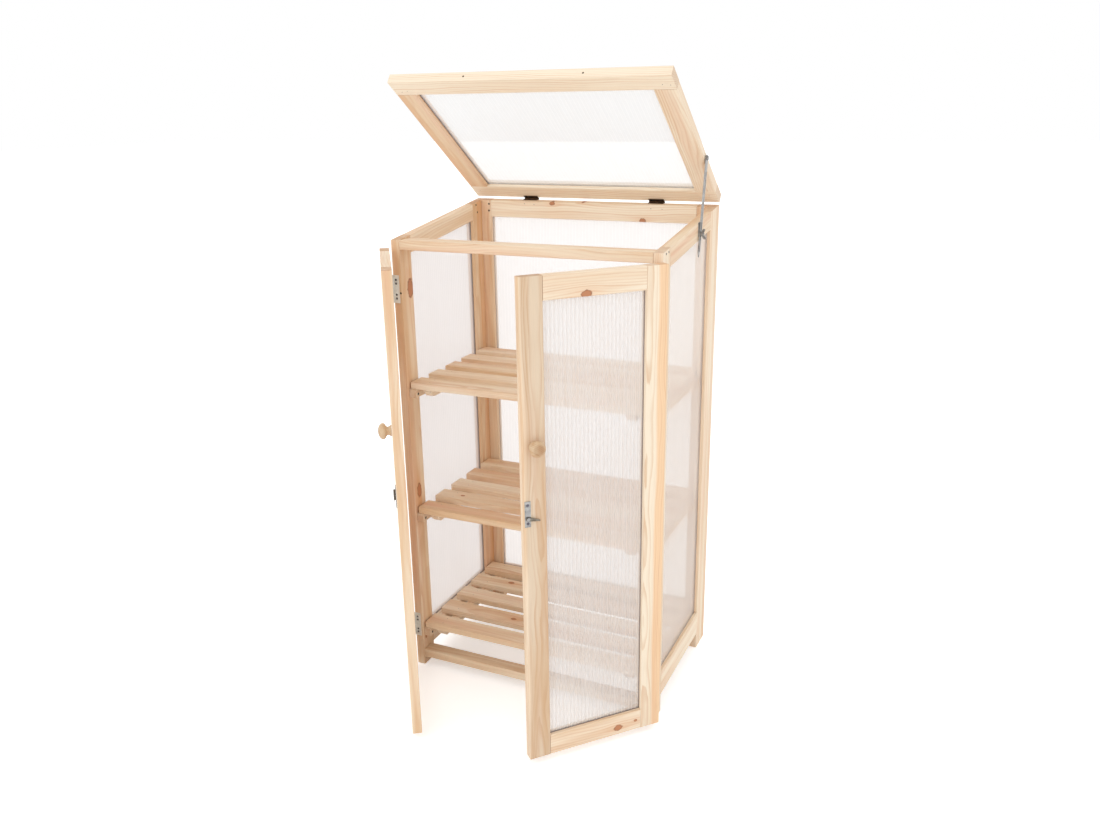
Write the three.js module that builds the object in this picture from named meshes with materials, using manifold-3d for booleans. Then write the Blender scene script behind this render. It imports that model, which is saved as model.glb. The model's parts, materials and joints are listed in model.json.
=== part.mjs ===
// Wooden mini greenhouse: a pine carcass with fluted sheets, two doors, a sloping lid and three shelves.
// Millimetres, +Z up, the doors open towards -Y.
// The origin is at the middle of the floor below the whole object.
import * as THREE from 'three';
import Module from 'manifold-3d';
import { mergeVertices } from 'three/addons/utils/BufferGeometryUtils.js';

const wasm = await Module();
wasm.setup();

// Carcass
const carcassWidth = 600;
const sideDepth = 370;
const frontHeight = 1018;
const roofPitch = THREE.MathUtils.degToRad(7.5);

// Timber, dressed from one stock
const stockWidth = 45;
const stockThickness = 20;
const arrisRadius = 1.2;
const arrisSteps = 1;
const jointLine = 0.3;

// Side and back frames
const footHeight = 40;
const sideTopRailHeight = 38;
const backTopRailHeight = 40;
const bottomRailHeight = 57;

// Joinery of every frame
const grooveDepth = 8;
const sheetThickness = 4;
const sheetEdgeGap = 0.6;
const tenonLength = 15;
const tenonThickness = 6;
const tenonShoulder = 8;
const cutOverrun = 5;

// Front rails
const frontBottomRailDepth = 33;
const frontBottomRailLift = 21;

// Doors
const doorBottom = 15;
const doorTopDrop = 16;
const doorMeetingGap = 3;
const leftDoorOpen = THREE.MathUtils.degToRad(55.5);
const rightDoorOpen = THREE.MathUtils.degToRad(48);

// Knobs, a lathe-turned mushroom
const knobHeight = 689;
const knobBaseRadius = 11;
const knobNeckRadius = 8;
const knobHeadRadius = 15.8;
const knobProjection = 26;
const knobSides = 24;

// Butt hinges
const hingeGap = 3;
const pinOutset = 2.5;
const pinRadius = 1.2;
const pinProud = 1;
const knuckleRadius = 2.3;
const knuckleClearance = 0.3;
const knuckleCount = 5;
const roundSides = 12;
const leafThickness = 1;
const doorLeafHeight = 60;
const doorLeafWidth = 15;
const doorHingeFromTop = 88;
const doorHingeFromBottom = 92;
const doorLeafScrewOffsets = [20, 12];
const lidLeafLength = 36;
const lidLeafWidth = 8;
const lidHingeSpacing = 312;
const lidLeafScrewOffset = 12;

// Lid
const lidLength = 448;
const lidFreeRailWidth = 43;
const lidOpen = THREE.MathUtils.degToRad(42.6);
const lidEdgeHoleSpacing = 254;
const lidEdgeHoleRadius = 2.2;
const lidEdgeHoleDepth = 8;

// Shelves
const slatCount = 5;
const slatWidth = 45;
const slatThickness = 15;
const shelfFrontSetback = 7;
const shelfRearSetback = 18;
const shelfEndGap = 3;
const middleShelfRise = 297;
const upperShelfRise = 298;
const shelfLabels = ['lower', 'middle', 'upper'];
const battenWidth = 20;
const battenThickness = 15;
const battenFromEnd = 32;
const battenBevel = 12;

// Cleats that carry the shelves
const cleatWidth = 17;
const cleatHeight = 20;
const cleatSetback = 5;

// Latch: a lever on the right door that turns under a keeper on the left one
const latchEdgeInset = 0.5;
const latchPlateWidth = 12;
const latchPlateHeight = 52;
const latchPlateThickness = 1.2;
const latchBelowKnob = 132;
const latchPivotDrop = 9;
const latchScrewInset = 7.5;
const leverStandoff = 0.6;
const leverThickness = 1.6;
const leverLength = 25;
const leverBossRadius = 4.2;
const leverTipRadius = 1.2;
const leverHoleRadius = 2.1;
const leverDroop = THREE.MathUtils.degToRad(14);
const rivetRadius = 1.7;
const rivetHeadRadius = 3.4;
const rivetHeadHeight = 1;
const keeperWidth = 18;
const keeperHeight = 42;
const keeperScrewInset = 4.5;
const keeperTabHeight = 23;
const keeperTabLength = 13;
const keeperTabClearance = 0.4;
const keeperTabThickness = 1;

// Lid stay: a slotted bar that a wing nut clamps
const stayRadius = 165;
const stayBoltDrop = 25;
const stayBarWidth = 13;
const stayBarThickness = 2;
const stayBarTail = 201;
const stayBarPoint = 10;
const staySlotStart = 28;
const staySlotEnd = 190;
const staySlotClearance = 0.35;
const stayBoltRadius = 2.5;
const stayBoltHeadRadius = 5.5;
const stayBoltHeadHeight = 2.5;
const stayBoltProud = 2;
const stayBracketWidth = 16;
const stayBracketBelow = 7;
const stayBracketAbove = 24;
const stayBracketThickness = 1.5;
const stayPivotRadius = 2;
const stayPivotClearance = 0.4;
const stayPivotHeadRadius = 4.5;
const stayPivotHeadHeight = 2;
const stayPivotDepth = 14;
const wingHubRadius = 4.5;
const wingHubLength = 5;
const wingSpan = 24;
const wingThickness = 2;
const wingRise = 5;
const wingCornerSteps = 3;
const wingNutTurn = THREE.MathUtils.degToRad(25);

// Screw holes in plates and leaves
const screwHoleRadius = 2.5;
const headSides = 8;

// Sizes that follow from the ones above
const roofSlope = Math.tan(roofPitch);
const halfWidth = carcassWidth / 2;
const innerHalfWidth = halfWidth - stockThickness;
const carcassDepth = sideDepth + jointLine + stockThickness;
const doorWidth = halfWidth - doorMeetingGap / 2;
const doorHeight = frontHeight - doorTopDrop - doorBottom;
const leafClearance = hingeGap - 2 * leafThickness - 2 * jointLine;
const doorPinX = halfWidth + pinOutset;
const doorPinY = -hingeGap / 2;
const doorFace = hingeGap / 2 + stockThickness;
const shelfHalfLength = innerHalfWidth - shelfEndGap;
const shelfDepth = sideDepth - shelfFrontSetback - shelfRearSetback;
const slatPitch = (shelfDepth - slatWidth) / (slatCount - 1);
const lowerShelfSeat = footHeight + bottomRailHeight;
const middleShelfSeat = lowerShelfSeat + middleShelfRise;
const shelfSeatHeights = [lowerShelfSeat, middleShelfSeat, middleShelfSeat + upperShelfRise];
const latchPlateMiddle = knobHeight - latchBelowKnob;
const latchPivotHeight = latchPlateMiddle - latchPivotDrop;
const leverLevel = latchPlateThickness + leverStandoff + jointLine;
const stayBarLevel = jointLine + stayBracketThickness + jointLine;

function topAt(y) {
  return frontHeight + roofSlope * y;
}

// The lid's hinge pin lies behind the back frame, half a hinge gap above the sloping top.
const lidPinY = carcassDepth + pinOutset * Math.cos(roofPitch) - hingeGap / 2 * Math.sin(roofPitch);
const lidPinZ = topAt(carcassDepth) + pinOutset * Math.sin(roofPitch) + hingeGap / 2 * Math.cos(roofPitch);
const lidMiddle = hingeGap / 2 + stockThickness / 2;
const stayPivotReach = Math.sqrt(stayRadius ** 2 - lidMiddle ** 2);

// The stay's pivot and its bolt lie at one radius from the lid's pin, so the bar always passes the bolt.
function aroundLidPin(height, angle) {
  const along = -Math.sqrt(stayRadius ** 2 - height ** 2);
  return {
    y: lidPinY + along * Math.cos(angle) - height * Math.sin(angle),
    z: lidPinZ + along * Math.sin(angle) + height * Math.cos(angle),
  };
}
const stayPivot = aroundLidPin(lidMiddle, roofPitch - lidOpen);
const stayBolt = aroundLidPin(-stayBoltDrop, roofPitch);

// Finishes
const pineFinish = { color: 0xe8cba0, roughness: 0.6, metalness: 0 };
const knobFinish = { color: 0xd8b88d, roughness: 0.5, metalness: 0 };
const sheetFinish = { color: 0xf4efea, roughness: 0.3, metalness: 0, transparent: true, opacity: 0.5 };
const zincFinish = { color: 0xb8bbbe, roughness: 0.35, metalness: 1 };
const bronzeFinish = { color: 0x4b3b2c, roughness: 0.45, metalness: 0.9 };

function piece(name, geometry, finish) {
  const mesh = new THREE.Mesh(geometry, new THREE.MeshStandardMaterial(finish));
  mesh.name = name;
  return mesh;
}

// Joining and cutting of closed meshes
function solidOf(geometry) {
  const bare = geometry.clone();
  bare.deleteAttribute('normal');
  bare.deleteAttribute('uv');
  const merged = mergeVertices(bare);
  return new wasm.Manifold(new wasm.Mesh({
    numProp: 3,
    vertProperties: new Float32Array(merged.attributes.position.array),
    triVerts: new Uint32Array(merged.index.array),
  }));
}

function geometryOf(solid) {
  const mesh = solid.getMesh();
  const geometry = new THREE.BufferGeometry();
  geometry.setAttribute('position', new THREE.BufferAttribute(new Float32Array(mesh.vertProperties), 3));
  geometry.setIndex(new THREE.BufferAttribute(new Uint32Array(mesh.triVerts), 1));
  geometry.computeVertexNormals();
  return geometry;
}

function shaped(whole, additions, cutters) {
  let solid = solidOf(whole);
  for (const addition of additions) {
    solid = solid.add(solidOf(addition));
  }
  for (const cutter of cutters) {
    solid = solid.subtract(solidOf(cutter));
  }
  return geometryOf(solid);
}

// Boxes and bars by their lowest and highest corners
function block(low, high) {
  const size = high.map((value, axis) => value - low[axis]);
  const middle = high.map((value, axis) => (value + low[axis]) / 2);
  const box = new THREE.BoxGeometry(...size.map(Math.abs));
  return box.translate(...middle);
}

function roundedSection(width, thickness) {
  const x = width / 2 - arrisRadius;
  const y = thickness / 2 - arrisRadius;
  const section = new THREE.Shape();
  section.absarc(x, y, arrisRadius, 0, Math.PI / 2);
  section.absarc(-x, y, arrisRadius, Math.PI / 2, Math.PI);
  section.absarc(-x, -y, arrisRadius, Math.PI, Math.PI * 3 / 2);
  section.absarc(x, -y, arrisRadius, Math.PI * 3 / 2, Math.PI * 2);
  return section;
}

// A timber with eased edges that fills the space between two corners, its grain along one axis
function timber(low, high, grain) {
  const size = high.map((value, axis) => value - low[axis]);
  const middle = high.map((value, axis) => (value + low[axis]) / 2);
  const across = (grain + 1) % 3;
  const through = (grain + 2) % 3;
  const section = roundedSection(size[across], size[through]);
  const bar = new THREE.ExtrudeGeometry(section, {
    depth: size[grain],
    bevelEnabled: false,
    curveSegments: arrisSteps,
  });
  const axes = [new THREE.Vector3(), new THREE.Vector3(), new THREE.Vector3()];
  axes[0].setComponent(across, 1);
  axes[1].setComponent(through, 1);
  axes[2].setComponent(grain, 1);
  bar.translate(0, 0, -size[grain] / 2);
  bar.applyMatrix4(new THREE.Matrix4().makeBasis(...axes));
  return bar.translate(...middle);
}

function cylinderAlong(axis, radius, from, to, sides) {
  const cylinder = new THREE.CylinderGeometry(radius, radius, Math.abs(to - from), sides);
  if (axis === 'x') {
    cylinder.rotateZ(-Math.PI / 2);
    return cylinder.translate((from + to) / 2, 0, 0);
  }
  if (axis === 'z') {
    cylinder.rotateX(Math.PI / 2);
    return cylinder.translate(0, 0, (from + to) / 2);
  }
  return cylinder.translate(0, (from + to) / 2, 0);
}

// Moves the points of a geometry that lie above a level, by an amount that depends on the point
function lifted(geometry, level, riseAt) {
  const position = geometry.attributes.position;
  const point = new THREE.Vector3();
  for (let index = 0; index < position.count; index += 1) {
    point.fromBufferAttribute(position, index);
    if (point.y > level) {
      position.setY(index, point.y + riseAt(point));
    }
  }
  return geometry;
}

// A frame of two stiles and two rails round a sheet, laid out on U across, V up and W through it.
// Its top may climb along U, as a side's does, or along W, as the back's does.
function panelFrame(frame) {
  const { across, height, foot, lowWidth, highWidth, bottomWidth, topWidth, climbU, climbW, names } = frame;
  const halfThickness = stockThickness / 2;
  const halfGroove = sheetThickness / 2 + jointLine;
  const innerLow = lowWidth;
  const innerHigh = across - highWidth;
  const openingBottom = foot + bottomWidth;
  const openingTop = height - topWidth;
  const climb = (point) => climbU * point.x;
  const climbTop = (point) => climbU * point.x + climbW * point.z;
  const belowTop = height - arrisRadius * 2;

  // The tenons of one rail, or the mortises that take them
  function tenons(low, high, room, slope) {
    return [innerLow, innerHigh].map((shoulder, end) => {
      const outward = end === 0 ? -1 : 1;
      const inner = shoulder - outward * (jointLine * 2 + room);
      const outer = shoulder + outward * (tenonLength + room);
      const tenon = block(
        [Math.min(inner, outer), low - room, -tenonThickness / 2 - room],
        [Math.max(inner, outer), high + room, tenonThickness / 2 + room],
      );
      return slope ? lifted(tenon, -Infinity, climb) : tenon;
    });
  }
  const bottomTenon = [foot + tenonShoulder, openingBottom - grooveDepth];
  const topTenon = [openingTop + grooveDepth, height - tenonShoulder];
  const mortises = [
    ...tenons(...bottomTenon, jointLine, false),
    ...tenons(...topTenon, jointLine, true),
  ];

  // Stopped grooves in the stiles, at the sheet's edges
  function stileGroove(from, to) {
    const groove = block(
      [from, openingBottom - grooveDepth, -halfGroove],
      [to, openingTop + grooveDepth, halfGroove],
    );
    return lifted(groove, (openingBottom + openingTop) / 2, climb);
  }
  const lowStile = shaped(
    lifted(timber([0, 0, -halfThickness], [lowWidth, height, halfThickness], 1), belowTop, climbTop),
    [],
    [stileGroove(innerLow - grooveDepth, innerLow + cutOverrun), mortises[0], mortises[2]],
  );
  const highStile = shaped(
    lifted(timber([innerHigh, 0, -halfThickness], [across, height, halfThickness], 1), belowTop, climbTop),
    [],
    [stileGroove(innerHigh - cutOverrun, innerHigh + grooveDepth), mortises[1], mortises[3]],
  );

  // Rails between the stiles, grooved from end to end
  const railLow = innerLow + jointLine;
  const railHigh = innerHigh - jointLine;
  const bottomRail = shaped(
    timber([railLow, foot, -halfThickness], [railHigh, openingBottom, halfThickness], 0),
    tenons(...bottomTenon, 0, false),
    [block(
      [railLow - cutOverrun, openingBottom - grooveDepth, -halfGroove],
      [railHigh + cutOverrun, openingBottom + cutOverrun, halfGroove],
    )],
  );
  const topBar = timber([railLow, openingTop, -halfThickness], [railHigh, height, halfThickness], 0);
  lifted(topBar, belowTop, (point) => climbW * point.z);
  const topRail = shaped(
    lifted(topBar, -Infinity, climb),
    tenons(...topTenon, 0, true),
    [lifted(block(
      [railLow - cutOverrun, openingTop - cutOverrun, -halfGroove],
      [railHigh + cutOverrun, openingTop + grooveDepth, halfGroove],
    ), -Infinity, climb)],
  );

  // The sheet stands in the grooves all round
  const reach = grooveDepth - sheetEdgeGap;
  const sheet = lifted(
    block(
      [innerLow - reach, openingBottom - reach, -sheetThickness / 2],
      [innerHigh + reach, openingTop + reach, sheetThickness / 2],
    ),
    (openingBottom + openingTop) / 2,
    climb,
  );

  const group = new THREE.Group();
  group.add(piece(names.low, lowStile, pineFinish));
  group.add(piece(names.high, highStile, pineFinish));
  group.add(piece(names.bottom, bottomRail, pineFinish));
  group.add(piece(names.top, topRail, pineFinish));
  group.add(piece(names.sheet, sheet, sheetFinish));
  return group;
}

// Lays a group's U, V and W along three axes of what holds it
function laidAlong(group, u, v, w, place) {
  const axes = [u, v, w].map((direction) => new THREE.Vector3(...direction));
  group.quaternion.setFromRotationMatrix(new THREE.Matrix4().makeBasis(...axes));
  group.position.set(...place);
  return group;
}

function reshape(group, name, additions, cutters) {
  const mesh = group.children.find((child) => child.name === name);
  mesh.geometry = shaped(mesh.geometry, additions, cutters);
}

// Carcass
function sideFrame(side, label) {
  const frame = panelFrame({
    across: sideDepth,
    height: frontHeight,
    foot: footHeight,
    lowWidth: stockWidth,
    highWidth: stockWidth,
    bottomWidth: bottomRailHeight,
    topWidth: sideTopRailHeight,
    climbU: roofSlope,
    climbW: 0,
    names: {
      low: `${label}_side_front_stile`,
      high: `${label}_side_rear_stile`,
      bottom: `${label}_side_bottom_rail`,
      top: `${label}_side_top_rail`,
      sheet: `${label}_side_panel`,
    },
  });
  // The lowest shelf's cleat is one piece with the bottom rail that it lies on.
  const seat = shelfSeatHeights[0];
  const railFace = -side * stockThickness / 2;
  const inward = (distance) => railFace - side * distance;
  const cleatFaces = [inward(jointLine), inward(jointLine + cleatWidth)];
  const cleat = timber(
    [cleatSetback, seat - cleatHeight, Math.min(...cleatFaces)],
    [sideDepth - cleatSetback, seat, Math.max(...cleatFaces)],
    0,
  );
  const glueFaces = [inward(-jointLine), inward(jointLine + arrisRadius)];
  const glueLine = block(
    [stockWidth + jointLine, seat - cleatHeight + arrisRadius, Math.min(...glueFaces)],
    [sideDepth - stockWidth - jointLine, seat - arrisRadius, Math.max(...glueFaces)],
  );
  reshape(frame, `${label}_side_bottom_rail`, [glueLine, cleat], []);
  if (side > 0) {
    const boltRoom = stayBoltRadius + jointLine;
    const hole = cylinderAlong('z', boltRoom, -stockThickness, stockThickness, roundSides);
    reshape(frame, `${label}_side_top_rail`, [], [hole.translate(stayBolt.y, stayBolt.z, 0)]);
  }
  const middle = side * (halfWidth - stockThickness / 2);
  return laidAlong(frame, [0, 1, 0], [0, 0, 1], [1, 0, 0], [middle, 0, 0]);
}

function backFrame() {
  const middle = sideDepth + jointLine + stockThickness / 2;
  const frame = panelFrame({
    across: carcassWidth,
    height: topAt(middle),
    foot: footHeight,
    lowWidth: stockWidth,
    highWidth: stockWidth,
    bottomWidth: bottomRailHeight,
    topWidth: backTopRailHeight,
    climbU: 0,
    climbW: -roofSlope,
    names: {
      low: 'back_left_stile',
      high: 'back_right_stile',
      bottom: 'back_bottom_rail',
      top: 'back_top_rail',
      sheet: 'back_panel',
    },
  });
  return laidAlong(frame, [1, 0, 0], [0, 0, 1], [0, -1, 0], [-halfWidth, middle, 0]);
}

function frontRails() {
  const end = innerHalfWidth - jointLine;
  const top = timber([-end, 0, frontHeight - stockThickness], [end, stockWidth, frontHeight], 0);
  const bottomTop = frontBottomRailLift + stockThickness;
  const bottom = timber([-end, 0, frontBottomRailLift], [end, frontBottomRailDepth, bottomTop], 0);
  return [piece('front_top_rail', top, pineFinish), piece('front_bottom_rail', bottom, pineFinish)];
}

// Shelves: five slats nailed across two battens, which are bevelled at the front
function shelf(label, seat) {
  const slatBottom = seat + jointLine;
  const back = shelfFrontSetback + shelfDepth;
  const bars = [];
  for (let index = 0; index < slatCount; index += 1) {
    const front = shelfFrontSetback + index * slatPitch;
    bars.push(timber(
      [-shelfHalfLength, front, slatBottom],
      [shelfHalfLength, front + slatWidth, slatBottom + slatThickness],
      0,
    ));
  }
  const corners = [];
  for (const side of [-1, 1]) {
    const outer = side * (shelfHalfLength - battenFromEnd);
    const inner = outer - side * battenWidth;
    const bottom = slatBottom - battenThickness;
    bars.push(timber(
      [Math.min(inner, outer), shelfFrontSetback, bottom],
      [Math.max(inner, outer), back, slatBottom + jointLine],
      1,
    ));
    const corner = block([-battenWidth, -battenBevel, -battenBevel], [battenWidth, battenBevel, 0]);
    corner.rotateX(-Math.PI / 4);
    corners.push(corner.translate((inner + outer) / 2, shelfFrontSetback, bottom + battenBevel));
  }
  return piece(`${label}_shelf`, shaped(bars[0], bars.slice(1), corners), pineFinish);
}

function cleatBar(side, seat) {
  const outer = side * (innerHalfWidth - jointLine);
  const inner = outer - side * cleatWidth;
  return timber(
    [Math.min(inner, outer), cleatSetback, seat - cleatHeight],
    [Math.max(inner, outer), sideDepth - cleatSetback, seat],
    1,
  );
}

// The nearest and farthest depth of a hinge leaf's plate, which lies before or behind the pin's middle
function leafDepths(face) {
  const near = face * leafClearance / 2;
  const far = near + face * leafThickness;
  return [Math.min(near, far), Math.max(near, far)];
}

function screwHole(toward, face, width, height) {
  const [low, high] = leafDepths(face);
  const distance = knuckleRadius + knuckleClearance + width / 2;
  const overrun = leafClearance / 2;
  const hole = cylinderAlong('y', screwHoleRadius, low - overrun, high + overrun, headSides);
  return hole.translate(toward * distance, 0, height);
}

// A leaf of a butt hinge: its pin along Z, its plate to one side of it, its screw holes on one line at the
// given heights. The leaf that has the end knuckles also holds the pin.
function hingeLeaf({ height, width, toward, face, holdsPin, screwHeights }) {
  const start = knuckleRadius + knuckleClearance;
  const depths = leafDepths(face);
  const strip = (from, to, low, high) => block(
    [Math.min(toward * from, toward * to), depths[0], low],
    [Math.max(toward * from, toward * to), depths[1], high],
  );
  const knuckleHeight = height / knuckleCount;
  const additions = [];
  for (let index = holdsPin ? 0 : 1; index < knuckleCount; index += 2) {
    const low = -height / 2 + index * knuckleHeight + jointLine / 2;
    const high = low + knuckleHeight - jointLine;
    additions.push(cylinderAlong('z', knuckleRadius, low, high, roundSides));
    additions.push(strip(0, start + leafThickness, low, high));
  }
  const cutters = screwHeights.map((at) => screwHole(toward, face, width, at));
  if (holdsPin) {
    const reach = height / 2 + pinProud;
    additions.push(cylinderAlong('z', pinRadius, -reach, reach, roundSides));
  } else {
    cutters.push(cylinderAlong('z', pinRadius + knuckleClearance, -height, height, roundSides));
  }
  return shaped(strip(start, start + width, -height / 2, height / 2), additions, cutters);
}

// Turns a leaf that was made along Z to lie along X, its plate towards -Y
function alongX(geometry) {
  const axes = [new THREE.Vector3(0, 1, 0), new THREE.Vector3(0, 0, 1), new THREE.Vector3(1, 0, 0)];
  return geometry.applyMatrix4(new THREE.Matrix4().makeBasis(...axes));
}

const doorHingePlaces = [
  { height: doorBottom + doorHingeFromBottom, level: 'lower' },
  { height: doorBottom + doorHeight - doorHingeFromTop, level: 'upper' },
];
const doorLeafScrews = doorLeafScrewOffsets.flatMap((offset) => [-offset, offset]);

function doorHingeLeaf(side, label, owner, { height, level }) {
  const onCarcass = owner === 'frame';
  const leaf = hingeLeaf({
    height: doorLeafHeight,
    width: doorLeafWidth,
    toward: -side,
    face: onCarcass ? 1 : -1,
    holdsPin: onCarcass,
    screwHeights: doorLeafScrews,
  });
  const place = onCarcass ? [side * doorPinX, doorPinY, height] : [0, 0, height];
  return piece(`${label}_${level}_hinge_${owner}_leaf`, leaf.translate(...place), zincFinish);
}

// The knob's head, as shares of its radius and of the whole projection
const knobHeadShares = [
  [0.82, 0.44], [1, 0.6], [0.94, 0.77], [0.72, 0.92], [0.38, 0.985], [0, 1],
];
const knobFootShare = 0.06;
const knobWaistShare = 0.3;

function knob() {
  const profile = [
    new THREE.Vector2(0, 0),
    new THREE.Vector2(knobBaseRadius, 0),
    new THREE.Vector2(knobBaseRadius, knobFootShare * knobProjection),
    new THREE.Vector2(knobNeckRadius, knobWaistShare * knobProjection),
  ];
  for (const [radiusShare, riseShare] of knobHeadShares) {
    profile.push(new THREE.Vector2(radiusShare * knobHeadRadius, riseShare * knobProjection));
  }
  return new THREE.LatheGeometry(profile, knobSides);
}

// A door, turned about its pins. X runs across the shut door, and its outer face looks towards -Y.
function door(side, label, openAngle, latchParts) {
  const pivot = new THREE.Group();
  pivot.position.set(side * doorPinX, doorPinY, 0);
  pivot.rotation.z = side * openAngle;
  const frame = panelFrame({
    across: doorWidth,
    height: doorHeight,
    foot: 0,
    lowWidth: stockWidth,
    highWidth: stockWidth,
    bottomWidth: stockWidth,
    topWidth: stockWidth,
    climbU: 0,
    climbW: 0,
    names: {
      low: `${label}_door_hinge_stile`,
      high: `${label}_door_latch_stile`,
      bottom: `${label}_door_bottom_rail`,
      top: `${label}_door_top_rail`,
      sheet: `${label}_door_panel`,
    },
  });
  const corner = [-side * pinOutset, -hingeGap / 2 - stockThickness / 2, doorBottom];
  pivot.add(laidAlong(frame, [-side, 0, 0], [0, 0, 1], [0, side, 0], corner));

  const knobReach = pinOutset + doorWidth - stockWidth / 2;
  const turnedKnob = knob().rotateX(Math.PI);
  turnedKnob.translate(-side * knobReach, -doorFace - jointLine, knobHeight);
  pivot.add(piece(`${label}_door_knob`, turnedKnob, knobFinish));

  for (const place of doorHingePlaces) {
    pivot.add(doorHingeLeaf(side, label, 'door', place));
  }
  pivot.add(...latchParts);
  return pivot;
}

// Latch. Each plate lies on its door's outer face and has two screw holes.
function drilledPlate(low, high, additions, holes) {
  const cutters = holes.map(([x, z]) => {
    const start = -latchPlateThickness - jointLine;
    const hole = cylinderAlong('y', screwHoleRadius, start, jointLine, headSides);
    return hole.translate(x, 0, z);
  });
  return shaped(block(low, high), additions, cutters);
}

const latchRise = latchPlateMiddle - latchPivotHeight;
const latchX = -(pinOutset + doorWidth - latchEdgeInset - latchPlateWidth / 2);
const keeperX = pinOutset + doorWidth - latchEdgeInset;
const latchFaceY = -doorFace - jointLine;
const latchHoleReach = latchPlateHeight / 2 - latchScrewInset;
const latchHoles = [-1, 1].map((way) => [0, latchRise + way * latchHoleReach]);
const keeperHoleReach = keeperHeight / 2 - keeperScrewInset;
const keeperHoles = [-1, 1].map((way) => [-keeperWidth / 2, latchRise + way * keeperHoleReach]);

// The lever turns on a rivet that stands on the plate.
function latchPlate() {
  const capStart = leverLevel + leverThickness + jointLine;
  const capEnd = leverLevel + leverThickness + rivetHeadHeight;
  const shoulder = cylinderAlong('y', leverBossRadius, 0, -(leverLevel - jointLine), roundSides);
  const shank = cylinderAlong('y', rivetRadius, 0, -capEnd, roundSides);
  const cap = cylinderAlong('y', rivetHeadRadius, -capStart, -capEnd, roundSides);
  return drilledPlate(
    [-latchPlateWidth / 2, -latchPlateThickness, latchRise - latchPlateHeight / 2],
    [latchPlateWidth / 2, 0, latchRise + latchPlateHeight / 2],
    [shoulder, shank, cap],
    latchHoles,
  );
}

function latchLever() {
  const outline = new THREE.Shape();
  const lean = Math.asin((leverBossRadius - leverTipRadius) / leverLength);
  outline.absarc(0, 0, leverBossRadius, Math.PI / 2 - lean, Math.PI * 3 / 2 + lean);
  outline.absarc(leverLength - leverTipRadius, 0, leverTipRadius, -Math.PI / 2 + lean, Math.PI / 2 - lean);
  const hole = new THREE.Path();
  hole.absarc(0, 0, leverHoleRadius, 0, Math.PI * 2);
  outline.holes.push(hole);
  const lever = new THREE.ExtrudeGeometry(outline, {
    depth: leverThickness,
    bevelEnabled: false,
    curveSegments: roundSides,
  });
  return lever.rotateX(Math.PI / 2);
}

// A raised tab that is open above, below and towards the door's free edge
function latchKeeper() {
  const level = leverLevel + leverThickness + keeperTabClearance;
  const tabLow = latchRise - keeperTabHeight / 2;
  const tabHigh = latchRise + keeperTabHeight / 2;
  const riser = block(
    [-keeperWidth, -level - keeperTabThickness, tabLow],
    [-keeperWidth + keeperTabThickness, 0, tabHigh],
  );
  const tab = block(
    [-keeperWidth, -level - keeperTabThickness, tabLow],
    [-keeperWidth + keeperTabLength, -level, tabHigh],
  );
  return drilledPlate(
    [-keeperWidth, -latchPlateThickness, latchRise - keeperHeight / 2],
    [0, 0, latchRise + keeperHeight / 2],
    [riser, tab],
    keeperHoles,
  );
}

function leftDoor() {
  const place = [keeperX, latchFaceY, latchPivotHeight];
  const keeper = piece('latch_keeper', latchKeeper().translate(...place), zincFinish);
  return door(-1, 'left', leftDoorOpen, [keeper]);
}

function rightDoor() {
  const place = [latchX, latchFaceY, latchPivotHeight];
  const plate = piece('latch_plate', latchPlate().translate(...place), zincFinish);
  const leverPivot = new THREE.Group();
  leverPivot.position.set(latchX, latchFaceY - leverLevel, latchPivotHeight);
  leverPivot.rotation.y = leverDroop;
  leverPivot.add(piece('latch_lever', latchLever(), zincFinish));
  return door(1, 'right', rightDoorOpen, [plate, leverPivot]);
}

// Lid. Its U runs forward from the hinge, its V across and its W upwards.
function lidFrame() {
  const frame = panelFrame({
    across: lidLength,
    height: carcassWidth,
    foot: 0,
    lowWidth: stockWidth,
    highWidth: lidFreeRailWidth,
    bottomWidth: stockWidth,
    topWidth: stockWidth,
    climbU: 0,
    climbW: 0,
    names: {
      low: 'lid_hinge_rail',
      high: 'lid_free_rail',
      bottom: 'lid_left_stile',
      top: 'lid_right_stile',
      sheet: 'lid_panel',
    },
  });
  const holeStart = lidLength - lidEdgeHoleDepth;
  const holeEnd = lidLength + cutOverrun;
  const edgeHoles = [-1, 1].map((way) => {
    const hole = cylinderAlong('x', lidEdgeHoleRadius, holeStart, holeEnd, headSides);
    return hole.translate(0, halfWidth + way * lidEdgeHoleSpacing / 2, 0);
  });
  reshape(frame, 'lid_free_rail', [], edgeHoles);
  const boreRadius = stayPivotRadius + jointLine;
  const boreStart = carcassWidth - stayPivotDepth - jointLine;
  const boreEnd = carcassWidth + cutOverrun;
  const bore = cylinderAlong('y', boreRadius, boreStart, boreEnd, roundSides);
  reshape(frame, 'lid_right_stile', [], [bore.translate(stayPivotReach - pinOutset, 0, 0)]);
  return laidAlong(frame, [0, -1, 0], [1, 0, 0], [0, 0, 1], [-halfWidth, -pinOutset, lidMiddle]);
}

const lidLeafScrews = [-lidLeafScrewOffset, lidLeafScrewOffset];

function lidHingeLeaf(way, label, owner) {
  const onCarcass = owner === 'frame';
  const leaf = hingeLeaf({
    height: lidLeafLength,
    width: lidLeafWidth,
    toward: -1,
    face: onCarcass ? -1 : 1,
    holdsPin: onCarcass,
    screwHeights: lidLeafScrews,
  });
  const placed = alongX(leaf).translate(way * lidHingeSpacing / 2, 0, 0);
  return piece(`lid_${label}_hinge_${owner}_leaf`, placed, bronzeFinish);
}

function lid() {
  const group = new THREE.Group();
  group.rotation.x = -lidOpen;
  group.add(lidFrame(), lidHingeLeaf(-1, 'left', 'lid'), lidHingeLeaf(1, 'right', 'lid'));

  const pivotScrew = piece('stay_pivot_screw', stayPivotScrew(), zincFinish);
  pivotScrew.position.set(halfWidth, -stayPivotReach, lidMiddle);
  group.add(pivotScrew);
  return group;
}

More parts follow.
